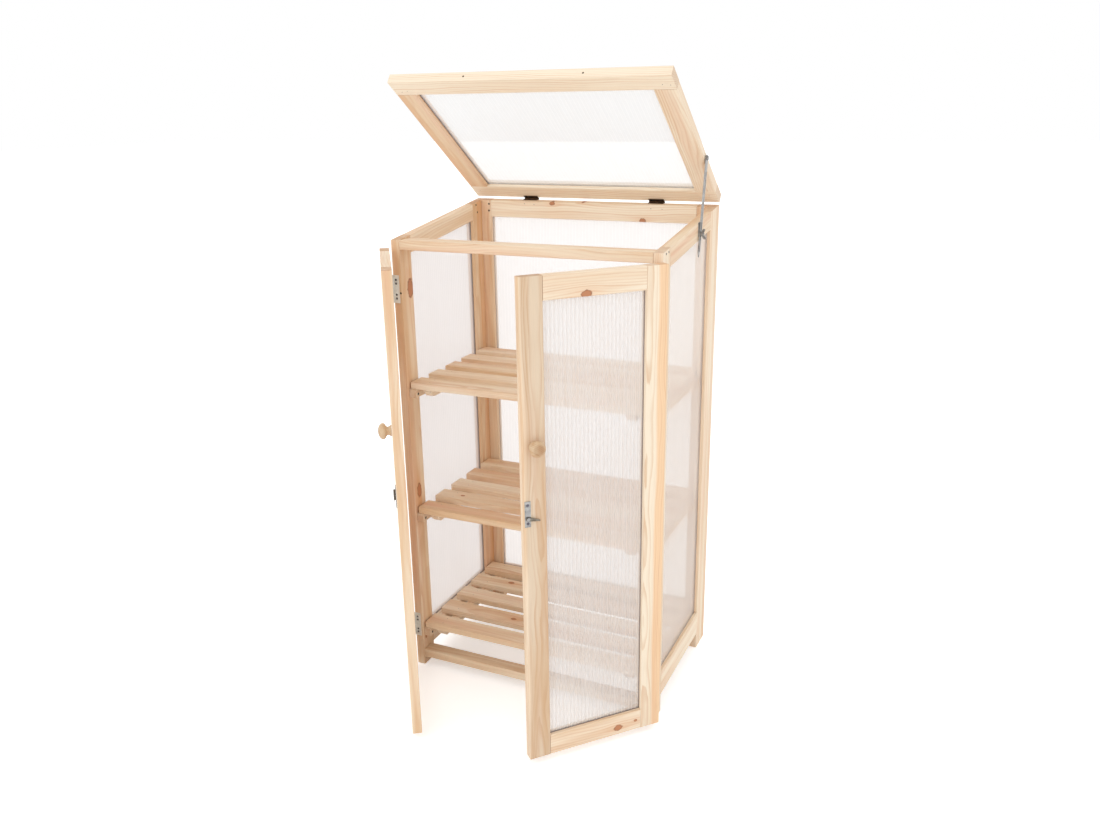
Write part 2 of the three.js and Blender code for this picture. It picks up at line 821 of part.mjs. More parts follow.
// The top of the carcass is sloped, and the lid's hinges and the lid are laid out on that slope.
function slopedTop() {
  const slope = new THREE.Group();
  slope.position.set(0, lidPinY, lidPinZ);
  slope.rotation.x = roofPitch;
  slope.add(lidHingeLeaf(-1, 'left', 'frame'), lidHingeLeaf(1, 'right', 'frame'), lid());
  return slope;
}

// Lid stay. Its plates are drawn on Y and Z and lie one outside the other on the carcass's right side.
function plateOnSide(outline, level, thickness) {
  const plate = new THREE.ExtrudeGeometry(outline, {
    depth: thickness,
    bevelEnabled: false,
    curveSegments: roundSides / 2,
  });
  return alongX(plate).translate(halfWidth + level, 0, 0);
}

// A turned piece whose axis runs outwards along X, from pairs of radius and distance
function turnedOutwards(pairs, sides) {
  const profile = pairs.map(([radius, distance]) => new THREE.Vector2(radius, distance));
  return new THREE.LatheGeometry(profile, sides).rotateZ(-Math.PI / 2);
}

function stayPivotScrew() {
  const barIn = stayBarLevel - jointLine;
  const barOut = stayBarLevel + stayBarThickness + jointLine;
  return turnedOutwards([
    [0, -stayPivotDepth],
    [stayPivotRadius, -stayPivotDepth],
    [stayPivotRadius, jointLine],
    [stayPivotHeadRadius, jointLine],
    [stayPivotHeadRadius, barIn],
    [stayPivotRadius, barIn],
    [stayPivotRadius, barOut],
    [stayPivotHeadRadius, barOut],
    [stayPivotHeadRadius, barOut + stayPivotHeadHeight],
    [0, barOut + stayPivotHeadHeight],
  ], roundSides);
}

// The bracket and its bolt: from a head inside the rail, out through the bar's slot and the wing nut
function stayBracket() {
  const outline = new THREE.Shape();
  const corner = stayBracketWidth / 2;
  outline.moveTo(corner, 0);
  outline.lineTo(corner, stayBracketAbove);
  outline.lineTo(-corner, stayBracketAbove);
  outline.lineTo(-corner, 0);
  outline.absellipse(0, 0, corner, stayBracketBelow, Math.PI, Math.PI * 2);
  const plate = plateOnSide(outline, jointLine, stayBracketThickness);
  const end = stayBarLevel + stayBarThickness + jointLine + wingHubLength + stayBoltProud;
  const headIn = -stockThickness - jointLine;
  const bolt = turnedOutwards([
    [0, headIn - stayBoltHeadHeight],
    [stayBoltHeadRadius, headIn - stayBoltHeadHeight],
    [stayBoltHeadRadius, headIn],
    [stayBoltRadius, headIn],
    [stayBoltRadius, end],
    [0, end],
  ], roundSides);
  const joined = shaped(plate, [bolt.translate(halfWidth, 0, 0)], []);
  return piece('stay_bolt_bracket', joined.translate(0, stayBolt.y, stayBolt.z), zincFinish);
}

function stayBar() {
  const half = stayBarWidth / 2;
  const outline = new THREE.Shape();
  outline.absarc(0, 0, half, 0, Math.PI);
  outline.lineTo(-half, -stayBarTail + stayBarPoint);
  outline.lineTo(0, -stayBarTail);
  outline.lineTo(half, -stayBarTail + stayBarPoint);
  const pivotHole = new THREE.Path();
  pivotHole.absarc(0, 0, stayPivotRadius + stayPivotClearance, 0, Math.PI * 2);
  const slotHalf = stayBoltRadius + staySlotClearance;
  const slot = new THREE.Path();
  slot.absarc(0, -staySlotStart - slotHalf, slotHalf, 0, Math.PI);
  slot.absarc(0, -staySlotEnd + slotHalf, slotHalf, Math.PI, Math.PI * 2);
  outline.holes.push(pivotHole, slot);
  const bar = piece('stay_bar', plateOnSide(outline, stayBarLevel, stayBarThickness), zincFinish);
  bar.position.set(0, stayPivot.y, stayPivot.z);
  bar.rotation.x = Math.atan2(stayBolt.y - stayPivot.y, stayPivot.z - stayBolt.z);
  return bar;
}

function wingNut() {
  const level = stayBarLevel + stayBarThickness + jointLine;
  const hub = turnedOutwards([
    [0, 0], [wingHubRadius, 0], [wingHubRadius, wingHubLength], [0, wingHubLength],
  ], roundSides);
  const tipMiddle = wingSpan / 2 - wingRise / 2;
  const tipLevel = wingHubLength + wingRise / 2;
  const outline = new THREE.Shape();
  outline.moveTo(-wingHubRadius / 2, 0);
  outline.lineTo(wingHubRadius / 2, 0);
  outline.lineTo(wingSpan / 2, wingRise);
  outline.absarc(tipMiddle, tipLevel, wingRise / 2, 0, Math.PI / 2);
  outline.lineTo(0, wingHubLength);
  outline.lineTo(-tipMiddle, wingHubLength + wingRise);
  outline.absarc(-tipMiddle, tipLevel, wingRise / 2, Math.PI / 2, Math.PI);
  outline.lineTo(-wingSpan / 2, wingRise);
  const wings = new THREE.ExtrudeGeometry(outline, {
    depth: wingThickness,
    bevelEnabled: false,
    curveSegments: wingCornerSteps,
  });
  wings.translate(0, 0, -wingThickness / 2);
  const axes = [new THREE.Vector3(0, 0, 1), new THREE.Vector3(1, 0, 0), new THREE.Vector3(0, 1, 0)];
  wings.applyMatrix4(new THREE.Matrix4().makeBasis(...axes));
  const boreEnd = wingHubLength + wingRise + cutOverrun;
  const bore = cylinderAlong('x', stayBoltRadius + jointLine, -cutOverrun, boreEnd, roundSides);
  const nut = piece('stay_wing_nut', shaped(hub, [wings], [bore]), zincFinish);
  nut.position.set(halfWidth + level, stayBolt.y, stayBolt.z);
  nut.rotation.x = wingNutTurn;
  return nut;
}

function miniGreenhouse() {
  const whole = new THREE.Group();
  whole.add(sideFrame(-1, 'left'), sideFrame(1, 'right'), backFrame(), ...frontRails());
  shelfLabels.forEach((label, index) => {
    whole.add(shelf(label, shelfSeatHeights[index]));
  });
  for (const [side, label] of [[-1, 'left'], [1, 'right']]) {
    for (const index of [1, 2]) {
      const cleat = cleatBar(side, shelfSeatHeights[index]);
      whole.add(piece(`${shelfLabels[index]}_${label}_cleat`, cleat, pineFinish));
    }
    for (const place of doorHingePlaces) {
      whole.add(doorHingeLeaf(side, label, 'frame', place));
    }
  }
  whole.add(leftDoor(), rightDoor(), slopedTop());
  whole.add(stayBracket(), stayBar(), wingNut());
  return whole;
}

// The origin goes to the middle of the floor below the whole object.
const greenhouse = new THREE.Group();
const assembly = miniGreenhouse();
const bounds = new THREE.Box3().setFromObject(assembly, true);
const middle = bounds.getCenter(new THREE.Vector3());
assembly.position.set(-middle.x, -middle.y, -bounds.min.z);
greenhouse.add(assembly);
greenhouse.updateMatrixWorld(true);

export default greenhouse;
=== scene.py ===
import json
import math
import random

import bmesh
import bpy
from mathutils import Matrix, Vector

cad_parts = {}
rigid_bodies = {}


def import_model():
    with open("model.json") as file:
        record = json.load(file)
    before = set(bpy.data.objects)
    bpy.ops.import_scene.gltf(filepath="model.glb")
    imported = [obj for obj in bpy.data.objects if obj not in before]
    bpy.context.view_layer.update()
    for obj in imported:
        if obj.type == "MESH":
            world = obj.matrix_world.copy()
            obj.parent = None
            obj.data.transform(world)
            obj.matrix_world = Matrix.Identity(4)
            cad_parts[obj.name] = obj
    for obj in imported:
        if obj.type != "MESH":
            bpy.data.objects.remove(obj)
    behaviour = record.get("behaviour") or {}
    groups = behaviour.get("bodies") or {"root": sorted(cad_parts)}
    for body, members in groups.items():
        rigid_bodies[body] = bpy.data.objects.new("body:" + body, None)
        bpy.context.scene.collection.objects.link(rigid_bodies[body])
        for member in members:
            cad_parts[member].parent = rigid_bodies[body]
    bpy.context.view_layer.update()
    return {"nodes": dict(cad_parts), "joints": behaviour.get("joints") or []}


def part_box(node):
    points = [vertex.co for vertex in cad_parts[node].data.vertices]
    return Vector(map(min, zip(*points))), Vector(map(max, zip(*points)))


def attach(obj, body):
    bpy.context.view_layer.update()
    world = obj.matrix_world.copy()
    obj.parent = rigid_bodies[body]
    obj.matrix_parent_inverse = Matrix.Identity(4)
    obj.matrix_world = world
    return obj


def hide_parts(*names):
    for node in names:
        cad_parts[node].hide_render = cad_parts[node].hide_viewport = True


for leftover in list(bpy.data.objects):
    bpy.data.objects.remove(leftover)

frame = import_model()

# Sizes in millimetres, as the part's source has them
FLUTE_PITCH = 8.3
FLUTE_SINK = 0.12
SLAT_COUNT = 5
SLAT_WIDTH = 45
SLAT_THICKNESS = 15
SLAT_PITCH = 75
SHELF_FRONT = 7
SHELF_HALF_LENGTH = 277
BATTEN_WIDTH = 20
BATTEN_THICKNESS = 15
BATTEN_FROM_END = 32
BATTEN_BEVEL = 12
ARRIS = 1.2
JOINT_LINE = 0.3
DOOR_FACE = 21.5
KNOB_REACH = 278.5
KNOB_HEIGHT = 689
SIDE_OUTER = 300
SIDE_INNER = 280
CLEAT_FACE = 262.7
BACK_RAIL_FACE = 370.3
HINGE_PIN_X = 302.5
HINGE_PIN_Y = -1.5
HINGE_HEIGHTS = (107, 914)
HINGE_SCREWS = (-20, -12, 12, 20)
LEAF_SCREW_REACH = 10.1
LEAF_INNER = 0.2
LID_HINGE_REACH = 156
LID_HINGE_SCREWS = (-12, 12)
LID_LEAF_SCREW_REACH = 6.6
LATCH_HEIGHT = 557
LATCH_X = 294.5
LATCH_PLATE_FACE = 23
LATCH_SCREWS = (-18.5, 18.5)
KEEPER_X = 291.5
KEEPER_SCREWS = (-16.5, 16.5)
LID_UNDERSIDE = 1.5
HEAD_LIFT = 0.02  # how far a head in a leaf or plate stands above it, so that the faces don't meet
PROUD = 0.05  # the same for a head in wood
SAME_PLACE = 0.01  # points nearer than this lie on one edge
SHELVES = {"lower": 97, "middle": 394, "upper": 692}

# Where each body stands in the photographed pose
ROOF_PITCH = 7.5
joints = {joint["name"]: joint for joint in frame["joints"]}


def pin(joint_name):
    return Vector(joints[joint_name]["pos_m"])


def stood(place, *turns):
    """A frame in millimetres that stands at a place in the part, turned about X, Y or Z in degrees."""
    matrix = Matrix.Translation(place)
    for axis, degrees in turns:
        matrix = matrix @ Matrix.Rotation(math.radians(degrees), 4, axis)
    return matrix @ Matrix.Scale(0.001, 4)


def moved(x, y, z):
    return Matrix.Translation((x, y, z))


def turned(axis, degrees):
    return Matrix.Rotation(math.radians(degrees), 4, axis)


left_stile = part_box("left_side_front_stile")
right_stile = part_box("right_side_front_stile")
carcass_middle = (left_stile[0].x + right_stile[1].x) / 2
carcass_front = right_stile[0].y
door_open = {side: joints[f"{side}_door_swing"]["range_deg"][0] for side in ("left", "right")}
lid_open = joints["lid_swing"]["range_deg"][0]


def door_frame(side):
    at = pin(f"{side}_door_swing")
    way = 1 if side == "left" else -1
    return stood((at.x, at.y, 0), ("Z", way * door_open[side]))


PLACES = {
    "carcass": stood((carcass_middle, carcass_front, 0)),
    "slope": stood(pin("lid_swing"), ("X", ROOF_PITCH)),
    "left_door": door_frame("left"),
    "right_door": door_frame("right"),
    "lid": stood(pin("lid_swing"), ("X", ROOF_PITCH + lid_open)),
}


# Nodes of the finishes
class Bench:
    """Puts nodes into one tree and joins them as they are made."""

    def __init__(self, tree):
        self.tree = tree

    def add(self, kind, values=(), output=0, **settings):
        made = self.tree.nodes.new(kind)
        for name, value in settings.items():
            setattr(made, name, value)
        pairs = values.items() if isinstance(values, dict) else enumerate(values)
        for socket, value in pairs:
            if isinstance(value, bpy.types.NodeSocket):
                self.tree.links.new(value, made.inputs[socket])
            else:
                made.inputs[socket].default_value = value
        return made.outputs[output] if made.outputs else made

    def maths(self, operation, *values):
        return self.add("ShaderNodeMath", values, operation=operation)

    def vector(self, operation, *values):
        return self.add("ShaderNodeVectorMath", values, operation=operation)

    def length(self, vector):
        return self.add("ShaderNodeVectorMath", [vector], output=1, operation="LENGTH")

    def noise(self, vector, seed, scale=1.0, detail=2.0, roughness=0.5, output=0):
        values = {"Vector": vector, "W": seed, "Scale": scale, "Detail": detail, "Roughness": roughness}
        return self.add("ShaderNodeTexNoise", values, output, noise_dimensions="4D")

    def ramp(self, value, low, high, to_low=0.0, to_high=1.0):
        """Rises softly between two values."""
        values = [value, low, high, to_low, to_high]
        return self.add("ShaderNodeMapRange", values, interpolation_type="SMOOTHSTEP")

    def mix(self, share, low, high, blend="MIX"):
        values = {0: share, 6: low, 7: high}
        return self.add("ShaderNodeMix", values, 2, data_type="RGBA", blend_type=blend)

    def parts(self, vector):
        split = self.tree.nodes.new("ShaderNodeSeparateXYZ")
        self.tree.links.new(vector, split.inputs[0])
        return split.outputs

    def joined(self, x, y, z):
        return self.add("ShaderNodeCombineXYZ", [x, y, z])


def linear(red, green, blue):
    """A colour as it looks on screen, from 0 to 255, as the shader wants it."""
    color = []
    for channel in (red, green, blue):
        share = channel / 255
        color.append(((share + 0.055) / 1.055) ** 2.4 if share > 0.04 else share / 12.92)
    return (*color, 1)


def node_group(name, inputs, outputs):
    tree = bpy.data.node_groups.new(name, "ShaderNodeTree")
    kinds = {"value": "NodeSocketFloat", "vector": "NodeSocketVector", "color": "NodeSocketColor"}
    for way, sockets in (("INPUT", inputs), ("OUTPUT", outputs)):
        for label, kind in sockets.items():
            tree.interface.new_socket(label, in_out=way, socket_type=kinds[kind])
    given = tree.nodes.new("NodeGroupInput").outputs
    wanted = tree.nodes.new("NodeGroupOutput").inputs
    return tree, Bench(tree), given, wanted


KNOT_RAGGEDNESS = 0.7  # how far a knot's outline strays, in shares of its radius
KNOT_PUSH = 0.7  # how strongly the rings bend round a knot


def knot_group():
    """A knot that runs through a board's thickness. Its place holds X, Y and its radius in millimetres."""
    tree, bench, given, wanted = node_group(
        "pine_knot",
        {"Board": "vector", "Knot": "vector", "Stretch": "value", "Seed": "value"},
        {"Core": "value", "Rim": "value", "Halo": "value", "Shift": "value"},
    )
    board_x, board_y, _ = bench.parts(given["Board"])
    knot_x, knot_y, radius = bench.parts(given["Knot"])
    along = bench.maths("DIVIDE", bench.maths("SUBTRACT", board_x, knot_x), radius)
    across = bench.maths("DIVIDE", bench.maths("SUBTRACT", board_y, knot_y), radius)
    ragged = bench.noise(given["Board"], given["Seed"], 0.16, 3.0)
    ragged = bench.maths("MULTIPLY_ADD", ragged, KNOT_RAGGEDNESS, -KNOT_RAGGEDNESS / 2)
    core_along = bench.maths("DIVIDE", along, given["Stretch"])
    distance = bench.length(bench.joined(core_along, across, 0.0))
    distance = bench.maths("ADD", distance, ragged)
    flow_along = bench.maths("MULTIPLY", core_along, 0.5)
    flow = bench.length(bench.joined(flow_along, across, 0.0))
    fade = bench.maths("EXPONENT", bench.maths("MULTIPLY", bench.maths("POWER", flow, 2.0), -0.45))
    core = bench.ramp(distance, 0.78, 1.06, 1.0, 0.0)
    broken = bench.noise(given["Board"], bench.maths("ADD", given["Seed"], 3.0), 0.3, 2.0)
    rim = bench.maths("MULTIPLY", bench.ramp(distance, 0.6, 0.95), core)
    rim = bench.maths("MULTIPLY", rim, bench.ramp(broken, 0.36, 0.6, 0.4, 1.0))
    push = bench.maths("MULTIPLY", bench.maths("MULTIPLY", across, radius), fade)
    shift = bench.maths("MULTIPLY", push, -KNOT_PUSH)
    links = {"Core": core, "Rim": rim, "Halo": fade, "Shift": shift}
    for label, value in links.items():
        tree.links.new(value, wanted[label])
    return tree


CREAM = linear(247, 231, 207)
HONEY = linear(226, 190, 150)
PINK_HONEY = linear(228, 184, 149)
LATE_WOOD = linear(214, 168, 124)
HEART_WOOD = linear(252, 224, 196)
KNOT_WOOD = linear(188, 120, 78)
KNOT_RIM = linear(112, 72, 50)
KNOT_HALO = linear(226, 164, 112)
END_GRAIN = linear(234, 224, 217)

# How long, wide and deep the patches of each pattern are in a board, in millimetres
PITH_WANDER = (240, 70, 70)
RING_RIPPLE = (45, 7, 7)
LATE_PATCHES = (180, 16, 16)
BROAD_TONES = (330, 17, 17)
FIBRES = (38, 0.8, 0.8)

PITH_STRAYS = 26
RIPPLE_DEPTH = 1.6
TONE_SPREAD = 0.3
LATE_SHARE = 0.72
FIBRE_DEPTH = 0.22
KNOT_SHARE = 0.92
RIM_SHARE = 0.8
PINE_ROUGHNESS = 0.62


def patches(bench, board, sizes):
    """The board's coordinates, counted in patches of a size."""
    return bench.vector("MULTIPLY", board, tuple(1 / size for size in sizes))


def pine_group():
    """Pine that is sawn from a log. The board's X runs along its grain, in millimetres from its middle."""
    inputs = {
        "Board": "vector",
        "Seed": "value",
        "Pith": "vector",
        "Ring Width": "value",
        "Honey": "value",
        "Heart And Painted Shade": "vector",
        "Heart And Painted Shade Tint": "color",
        "Knot 1": "vector",
        "Knot 2": "vector",
        "Knot 3": "vector",
        "Knot Stretch": "value",
        "End": "value",
        "Stain And Painted Shade": "color",
    }
    outputs = {"Color": "color", "Roughness": "value", "Height": "value"}
    tree, bench, given, wanted = node_group("pine_grain", inputs, outputs)
    board, seed = given["Board"], given["Seed"]

    knot_tree = knot_group()
    knots = []
    for number in (1, 2, 3):
        knot = tree.nodes.new("ShaderNodeGroup")
        knot.node_tree = knot_tree
        sources = {"Board": board, "Knot": given[f"Knot {number}"], "Seed": seed}
        sources["Stretch"] = given["Knot Stretch"]
        for label, source in sources.items():
            tree.links.new(source, knot.inputs[label])
        knots.append(knot.outputs)

    def over_knots(operation, label):
        first_two = bench.maths(operation, knots[0][label], knots[1][label])
        return bench.maths(operation, first_two, knots[2][label])

    shift = over_knots("ADD", "Shift")

    # The log's rings, round a pith that wanders along the board
    wander = bench.noise(patches(bench, board, PITH_WANDER), seed, 1.0, 1.0, output=1)
    half = PITH_STRAYS / 2
    wander = bench.vector("MULTIPLY_ADD", wander, (0, PITH_STRAYS, PITH_STRAYS), (0, -half, -half))
    bent = bench.vector("ADD", board, bench.joined(0.0, shift, 0.0))
    from_pith = bench.vector("SUBTRACT", bench.vector("ADD", bent, wander), given["Pith"])
    _, ring_y, ring_z = bench.parts(from_pith)
    radius = bench.length(bench.joined(0.0, ring_y, ring_z))
    ripple = bench.noise(patches(bench, board, RING_RIPPLE), seed, 1.0, 2.0)
    ripple = bench.maths("MULTIPLY_ADD", ripple, RIPPLE_DEPTH, -RIPPLE_DEPTH / 2)
    turn = bench.maths("DIVIDE", bench.maths("ADD", radius, ripple), given["Ring Width"])
    within = bench.maths("FRACT", turn)
    late = bench.maths("MULTIPLY", bench.ramp(within, 0.3, 0.9), bench.ramp(within, 0.92, 1.0, 1.0, 0.0))
    ring = bench.maths("ADD", bench.maths("FLOOR", turn), seed)
    weight = bench.add("ShaderNodeTexWhiteNoise", {"W": ring}, noise_dimensions="1D")
    late = bench.maths("MULTIPLY", late, bench.maths("MULTIPLY_ADD", weight, 0.75, 0.15))
    patchy = bench.noise(patches(bench, board, LATE_PATCHES), seed, 1.0, 1.0)
    late = bench.maths("MULTIPLY", late, bench.ramp(patchy, 0.3, 0.65, 0.45, 1.0))

    # Broad tones and fine fibres
    broad = patches(bench, board, BROAD_TONES)
    tone = bench.ramp(bench.noise(broad, seed, 1.0, 2.0), 0.34, 0.66, -TONE_SPREAD, TONE_SPREAD)
    tone = bench.add("ShaderNodeClamp", [bench.maths("ADD", tone, given["Honey"])])
    fibre = bench.noise(patches(bench, board, FIBRES), seed, 1.0, 3.0, 0.65)
    blush = bench.ramp(bench.noise(broad, bench.maths("ADD", seed, 7.0), 0.7, 1.0), 0.4, 0.7)
    color = bench.mix(tone, CREAM, bench.mix(blush, HONEY, PINK_HONEY))
    color = bench.mix(bench.maths("MULTIPLY", late, LATE_SHARE), color, LATE_WOOD)
    streak = bench.maths("MULTIPLY_ADD", fibre, FIBRE_DEPTH, 0.9)
    color = bench.mix(1.0, color, bench.joined(streak, streak, streak), "MULTIPLY")

    # A band across the board, of heartwood on most boards and of painted shade on the right door's latch
    # stile: where it begins across the board, which way it lies and how deep its colour is
    band_edge, band_way, band_depth = bench.parts(given["Heart And Painted Shade"])
    past = bench.maths("MULTIPLY", bench.maths("SUBTRACT", ring_y, band_edge), band_way)
    pith_y = bench.parts(given["Pith"])[1]
    past = bench.maths("MULTIPLY_ADD", pith_y, band_way, past)
    band = bench.maths("MULTIPLY", bench.ramp(past, -3.0, 4.0), band_depth)
    color = bench.mix(band, color, given["Heart And Painted Shade Tint"], "MULTIPLY")

    # Knots, with warmer wood round them
    halo = bench.maths("MULTIPLY_ADD", late, 0.5, 0.25)
    halo = bench.maths("MULTIPLY", over_knots("MAXIMUM", "Halo"), halo)
    color = bench.mix(halo, color, KNOT_HALO)
    core, rim = over_knots("MAXIMUM", "Core"), over_knots("MAXIMUM", "Rim")
    color = bench.mix(bench.maths("MULTIPLY", core, KNOT_SHARE), color, KNOT_WOOD)
    color = bench.mix(bench.maths("MULTIPLY", rim, RIM_SHARE), color, KNOT_RIM)

    color = bench.mix(given["End"], color, END_GRAIN, "MULTIPLY")
    # A stain over the whole piece; on the knobs it is partly painted shade.
    color = bench.mix(1.0, color, given["Stain And Painted Shade"], "MULTIPLY")
    roughness = bench.maths("MULTIPLY_ADD", late, -0.12, PINE_ROUGHNESS)
    height = bench.maths("ADD", bench.maths("MULTIPLY", late, 0.5), bench.maths("MULTIPLY", fibre, 0.6))
    for label, value in {"Color": color, "Roughness": roughness, "Height": height}.items():
        tree.links.new(value, wanted[label])
    return tree


PINE = pine_group()
NO_KNOT = (100000.0, 0.0, 1.0)
NO_HEART = (1000.0, 1.0, 0.0)


def corners_in(vertices, place):
    """The lowest and highest corners of some points of the part, in a frame in millimetres."""
    back = place.inverted()
    points = [back @ point for point in vertices]
    low = Vector(min(point[axis] for point in points) for axis in range(3))
    high = Vector(max(point[axis] for point in points) for axis in range(3))
    return low, high


def node_corners(name, place):
    return corners_in([vertex.co for vertex in frame["nodes"][name].data.vertices], place)


def board_axes(low, high):
    """Rows that turn a frame to a board's own: its grain along X, its width along Y."""
    size = high - low
    order = sorted(range(3), key=lambda axis: -size[axis])
    grain = Vector([float(axis == order[0]) for axis in range(3)])
    width = Vector([float(axis == order[1]) for axis in range(3)])
    return Matrix((grain, width, grain.cross(width)))


def board_mapping(low, high, place):
    """Where a board's own frame lies, as a location and a rotation for a Mapping node."""
    rows = board_axes(low, high)
    middle = rows @ ((low + high) / 2)
    whole = Matrix.Translation(-middle) @ rows.to_4x4() @ place.inverted()
    turn = (whole.to_3x3() * 0.001).to_euler("XYZ")
    return whole.translation, turn


NORMAL_OUTPUT, OBJECT_OUTPUT = 1, 3


def mapped(bench, location, rotation):
    """A piece's own coordinates, moved and turned, in millimetres."""
    coordinates = bench.add("ShaderNodeTexCoord", output=OBJECT_OUTPUT)
    values = {"Vector": coordinates, "Location": location, "Rotation": rotation, "Scale": (1000, 1000, 1000)}
    return bench.add("ShaderNodeMapping", values, vector_type="POINT")


def new_material(name):
    material = bpy.data.materials.new(name)
    material.use_nodes = True
    material.node_tree.nodes.clear()
    return material, Bench(material.node_tree)


def surface(bench, shader):
    bench.add("ShaderNodeOutputMaterial", {"Surface": shader})


# What the photograph shows of single boards. A knot has its place in the holder's frame and its radius. A
# heartwood edge has the line where it begins, the way that it lies and its depth; on the right door's latch
# stile the same band is painted shade. Honey is a board's tone; on the lid's rails and the right side's rear
# stile it is partly painted light, a lighter tone for faces that lie in shade.
KNOTS = {
    "right_door_top_rail": [((-171, -21.5, 961), 8)],
    "right_door_bottom_rail": [((-101, -21.5, 31), 7.5), ((-60, -21.5, 37), 3)],
    "left_side_front_stile": [((-280, 34, 911), 11.5), ((-280, 21, 445), 9.5), ((-280, 12, 72), 4)],
    "back_top_rail": [((-93.6, 370, 1063.4), 5), ((-17, 370, 1069), 3), ((130, 370, 1031), 6)],
    "right_side_top_rail": [((290, 81, 991), 6.5)],
    "left_door_hinge_stile": [((20, -1.5, 800), 6), ((30, -1.5, 380), 4)],
    "lower_shelf_slat_2": [((-88, 100, 112), 5), ((40, 95, 112), 4)],
    "lower_shelf_slat_4": [((-175, 262, 112), 6)],
    "middle_shelf_slat_2": [((-215, 105, 409), 4)],
    "middle_shelf_slat_4": [((-120, 250, 409), 5)],
    "upper_shelf_slat_3": [((60, 180, 707), 5)],
}
KNOT_STRETCHES = {"left_side_front_stile": 2.0}
HEARTWOOD_AND_PAINTED_SHADE = {
    "right_door_hinge_stile": (2.0, 1.0, 0.8),
    "right_side_rear_stile": (4.0, -1.0, 0.15),
    "left_side_rear_stile": (0.0, 1.0, 0.5),
    # Painted shade: a neutral band darkens the face of the latch stile, so that its edge stands out lighter.
    "right_door_latch_stile": (-19.5, 1.0, 1.0),
}
# Painted shade: the latch stile's band is neutral grey, not heartwood.
PAINTED_SHADE_TINTS = {"right_door_latch_stile": linear(237, 234, 232)}
HONEYS_AND_PAINTED_LIGHT = {
    "left_side_front_stile": 0.76,
    "left_side_rear_stile": 0.85,
    "left_side_top_rail": 0.5,
    "right_side_front_stile": 0.3,
    # Partly painted light: lighter, so that the stile's shaded reveal comes out pale.
    "right_side_rear_stile": 0.15,
    "right_side_top_rail": 0.75,
    "back_left_stile": 0.55,
    "back_right_stile": 0.5,
    "back_top_rail": 0.15,
    "front_top_rail": 0.5,
    "front_bottom_rail": 0.6,
    # Partly painted light: lighter, so that the lid's shaded underside comes out pale.
    "lid_free_rail": -0.3,
    "lid_hinge_rail": -0.3,
    "lid_left_stile": 0.9,
    "lid_right_stile": 0.08,
    "left_door_latch_stile": 0.75,
    "left_door_hinge_stile": 0.9,
    "left_door_top_rail": 0.45,
    "right_door_latch_stile": 0.5,
    "right_door_hinge_stile": 0.0,
    "right_door_top_rail": 0.1,
    "right_door_bottom_rail": 0.3,
}
NO_STAIN = (1, 1, 1, 1)


def pine_material(name, low, high, place, honey, stain_and_shade=NO_STAIN):
    """Pine for one board, sawn from its own part of a log."""
    draw = random.Random(name)
    material, bench = new_material(f"pine_{name}")
    location, rotation = board_mapping(low, high, place)
    board = mapped(bench, location, rotation)
    rows = board_axes(low, high)
    middle = (low + high) / 2
    knots = [NO_KNOT] * 3
    for number, (point, radius) in enumerate(KNOTS.get(name, [])):
        on_board = rows @ (Vector(point) - middle)
        knots[number] = (on_board.x, on_board.y, radius)
    pith = (0.0, draw.uniform(-60, 60), draw.choice((-1, 1)) * draw.uniform(18, 75))
    wood = material.node_tree.nodes.new("ShaderNodeGroup")
    wood.node_tree = PINE
    material.node_tree.links.new(board, wood.inputs["Board"])
    facing = bench.add("ShaderNodeTexCoord", output=NORMAL_OUTPUT)
    values = {"Vector": facing, "Rotation": rotation}
    facing = bench.add("ShaderNodeMapping", values, vector_type="VECTOR")
    along_grain = bench.maths("ABSOLUTE", bench.parts(facing)[0])
    material.node_tree.links.new(bench.ramp(along_grain, 0.8, 0.95), wood.inputs["End"])
    chosen = {
        "Seed": draw.uniform(0, 500),
        "Pith": pith,
        "Ring Width": draw.uniform(2.6, 5.2),
        "Honey": HONEYS_AND_PAINTED_LIGHT.get(name, honey) + draw.uniform(-0.08, 0.08),
        "Heart And Painted Shade": HEARTWOOD_AND_PAINTED_SHADE.get(name, NO_HEART),
        "Heart And Painted Shade Tint": PAINTED_SHADE_TINTS.get(name, HEART_WOOD),
        "Knot Stretch": KNOT_STRETCHES.get(name, 1.4),
        "Stain And Painted Shade": stain_and_shade,
    }
    for number, knot in enumerate(knots):
        chosen[f"Knot {number + 1}"] = knot
    for label, value in chosen.items():
        wood.inputs[label].default_value = value
    bump = bench.add(
        "ShaderNodeBump",
        {"Height": wood.outputs["Height"], "Strength": 0.25, "Distance": 0.0003},
    )
    shader = bench.add(
        "ShaderNodeBsdfPrincipled",
        {"Base Color": wood.outputs["Color"], "Roughness": wood.outputs["Roughness"], "Normal": bump},
    )
    surface(bench, shader)
    return material


def metal_material(name, light, dark, roughness, metallic=1.0):
    """A plated finish, slightly cloudy."""
    material, bench = new_material(name)
    place = mapped(bench, (0, 0, 0), (0, 0, 0))
    cloud = bench.noise(place, 0.0, 0.12, 3.0)
    speckle = bench.noise(place, 4.0, 1.3, 2.0)
    shade = bench.maths("MULTIPLY_ADD", speckle, 0.4, bench.maths("MULTIPLY", cloud, 0.6))
    color = bench.mix(bench.ramp(shade, 0.35, 0.65), dark, light)
    rough = bench.ramp(cloud, 0.3, 0.7, roughness - 0.06, roughness + 0.08)
    values = {"Base Color": color, "Roughness": rough, "Metallic": metallic}
    surface(bench, bench.add("ShaderNodeBsdfPrincipled", values))
    return material


SHEET_WHITE = linear(253, 254, 255)
RIB_WHITE = linear(226, 217, 211)
# Painted shade: a dark brown line where a sheet meets its groove, standing in for the shadow in the gap.
GROOVE_PAINTED_SHADE = linear(128, 72, 40)


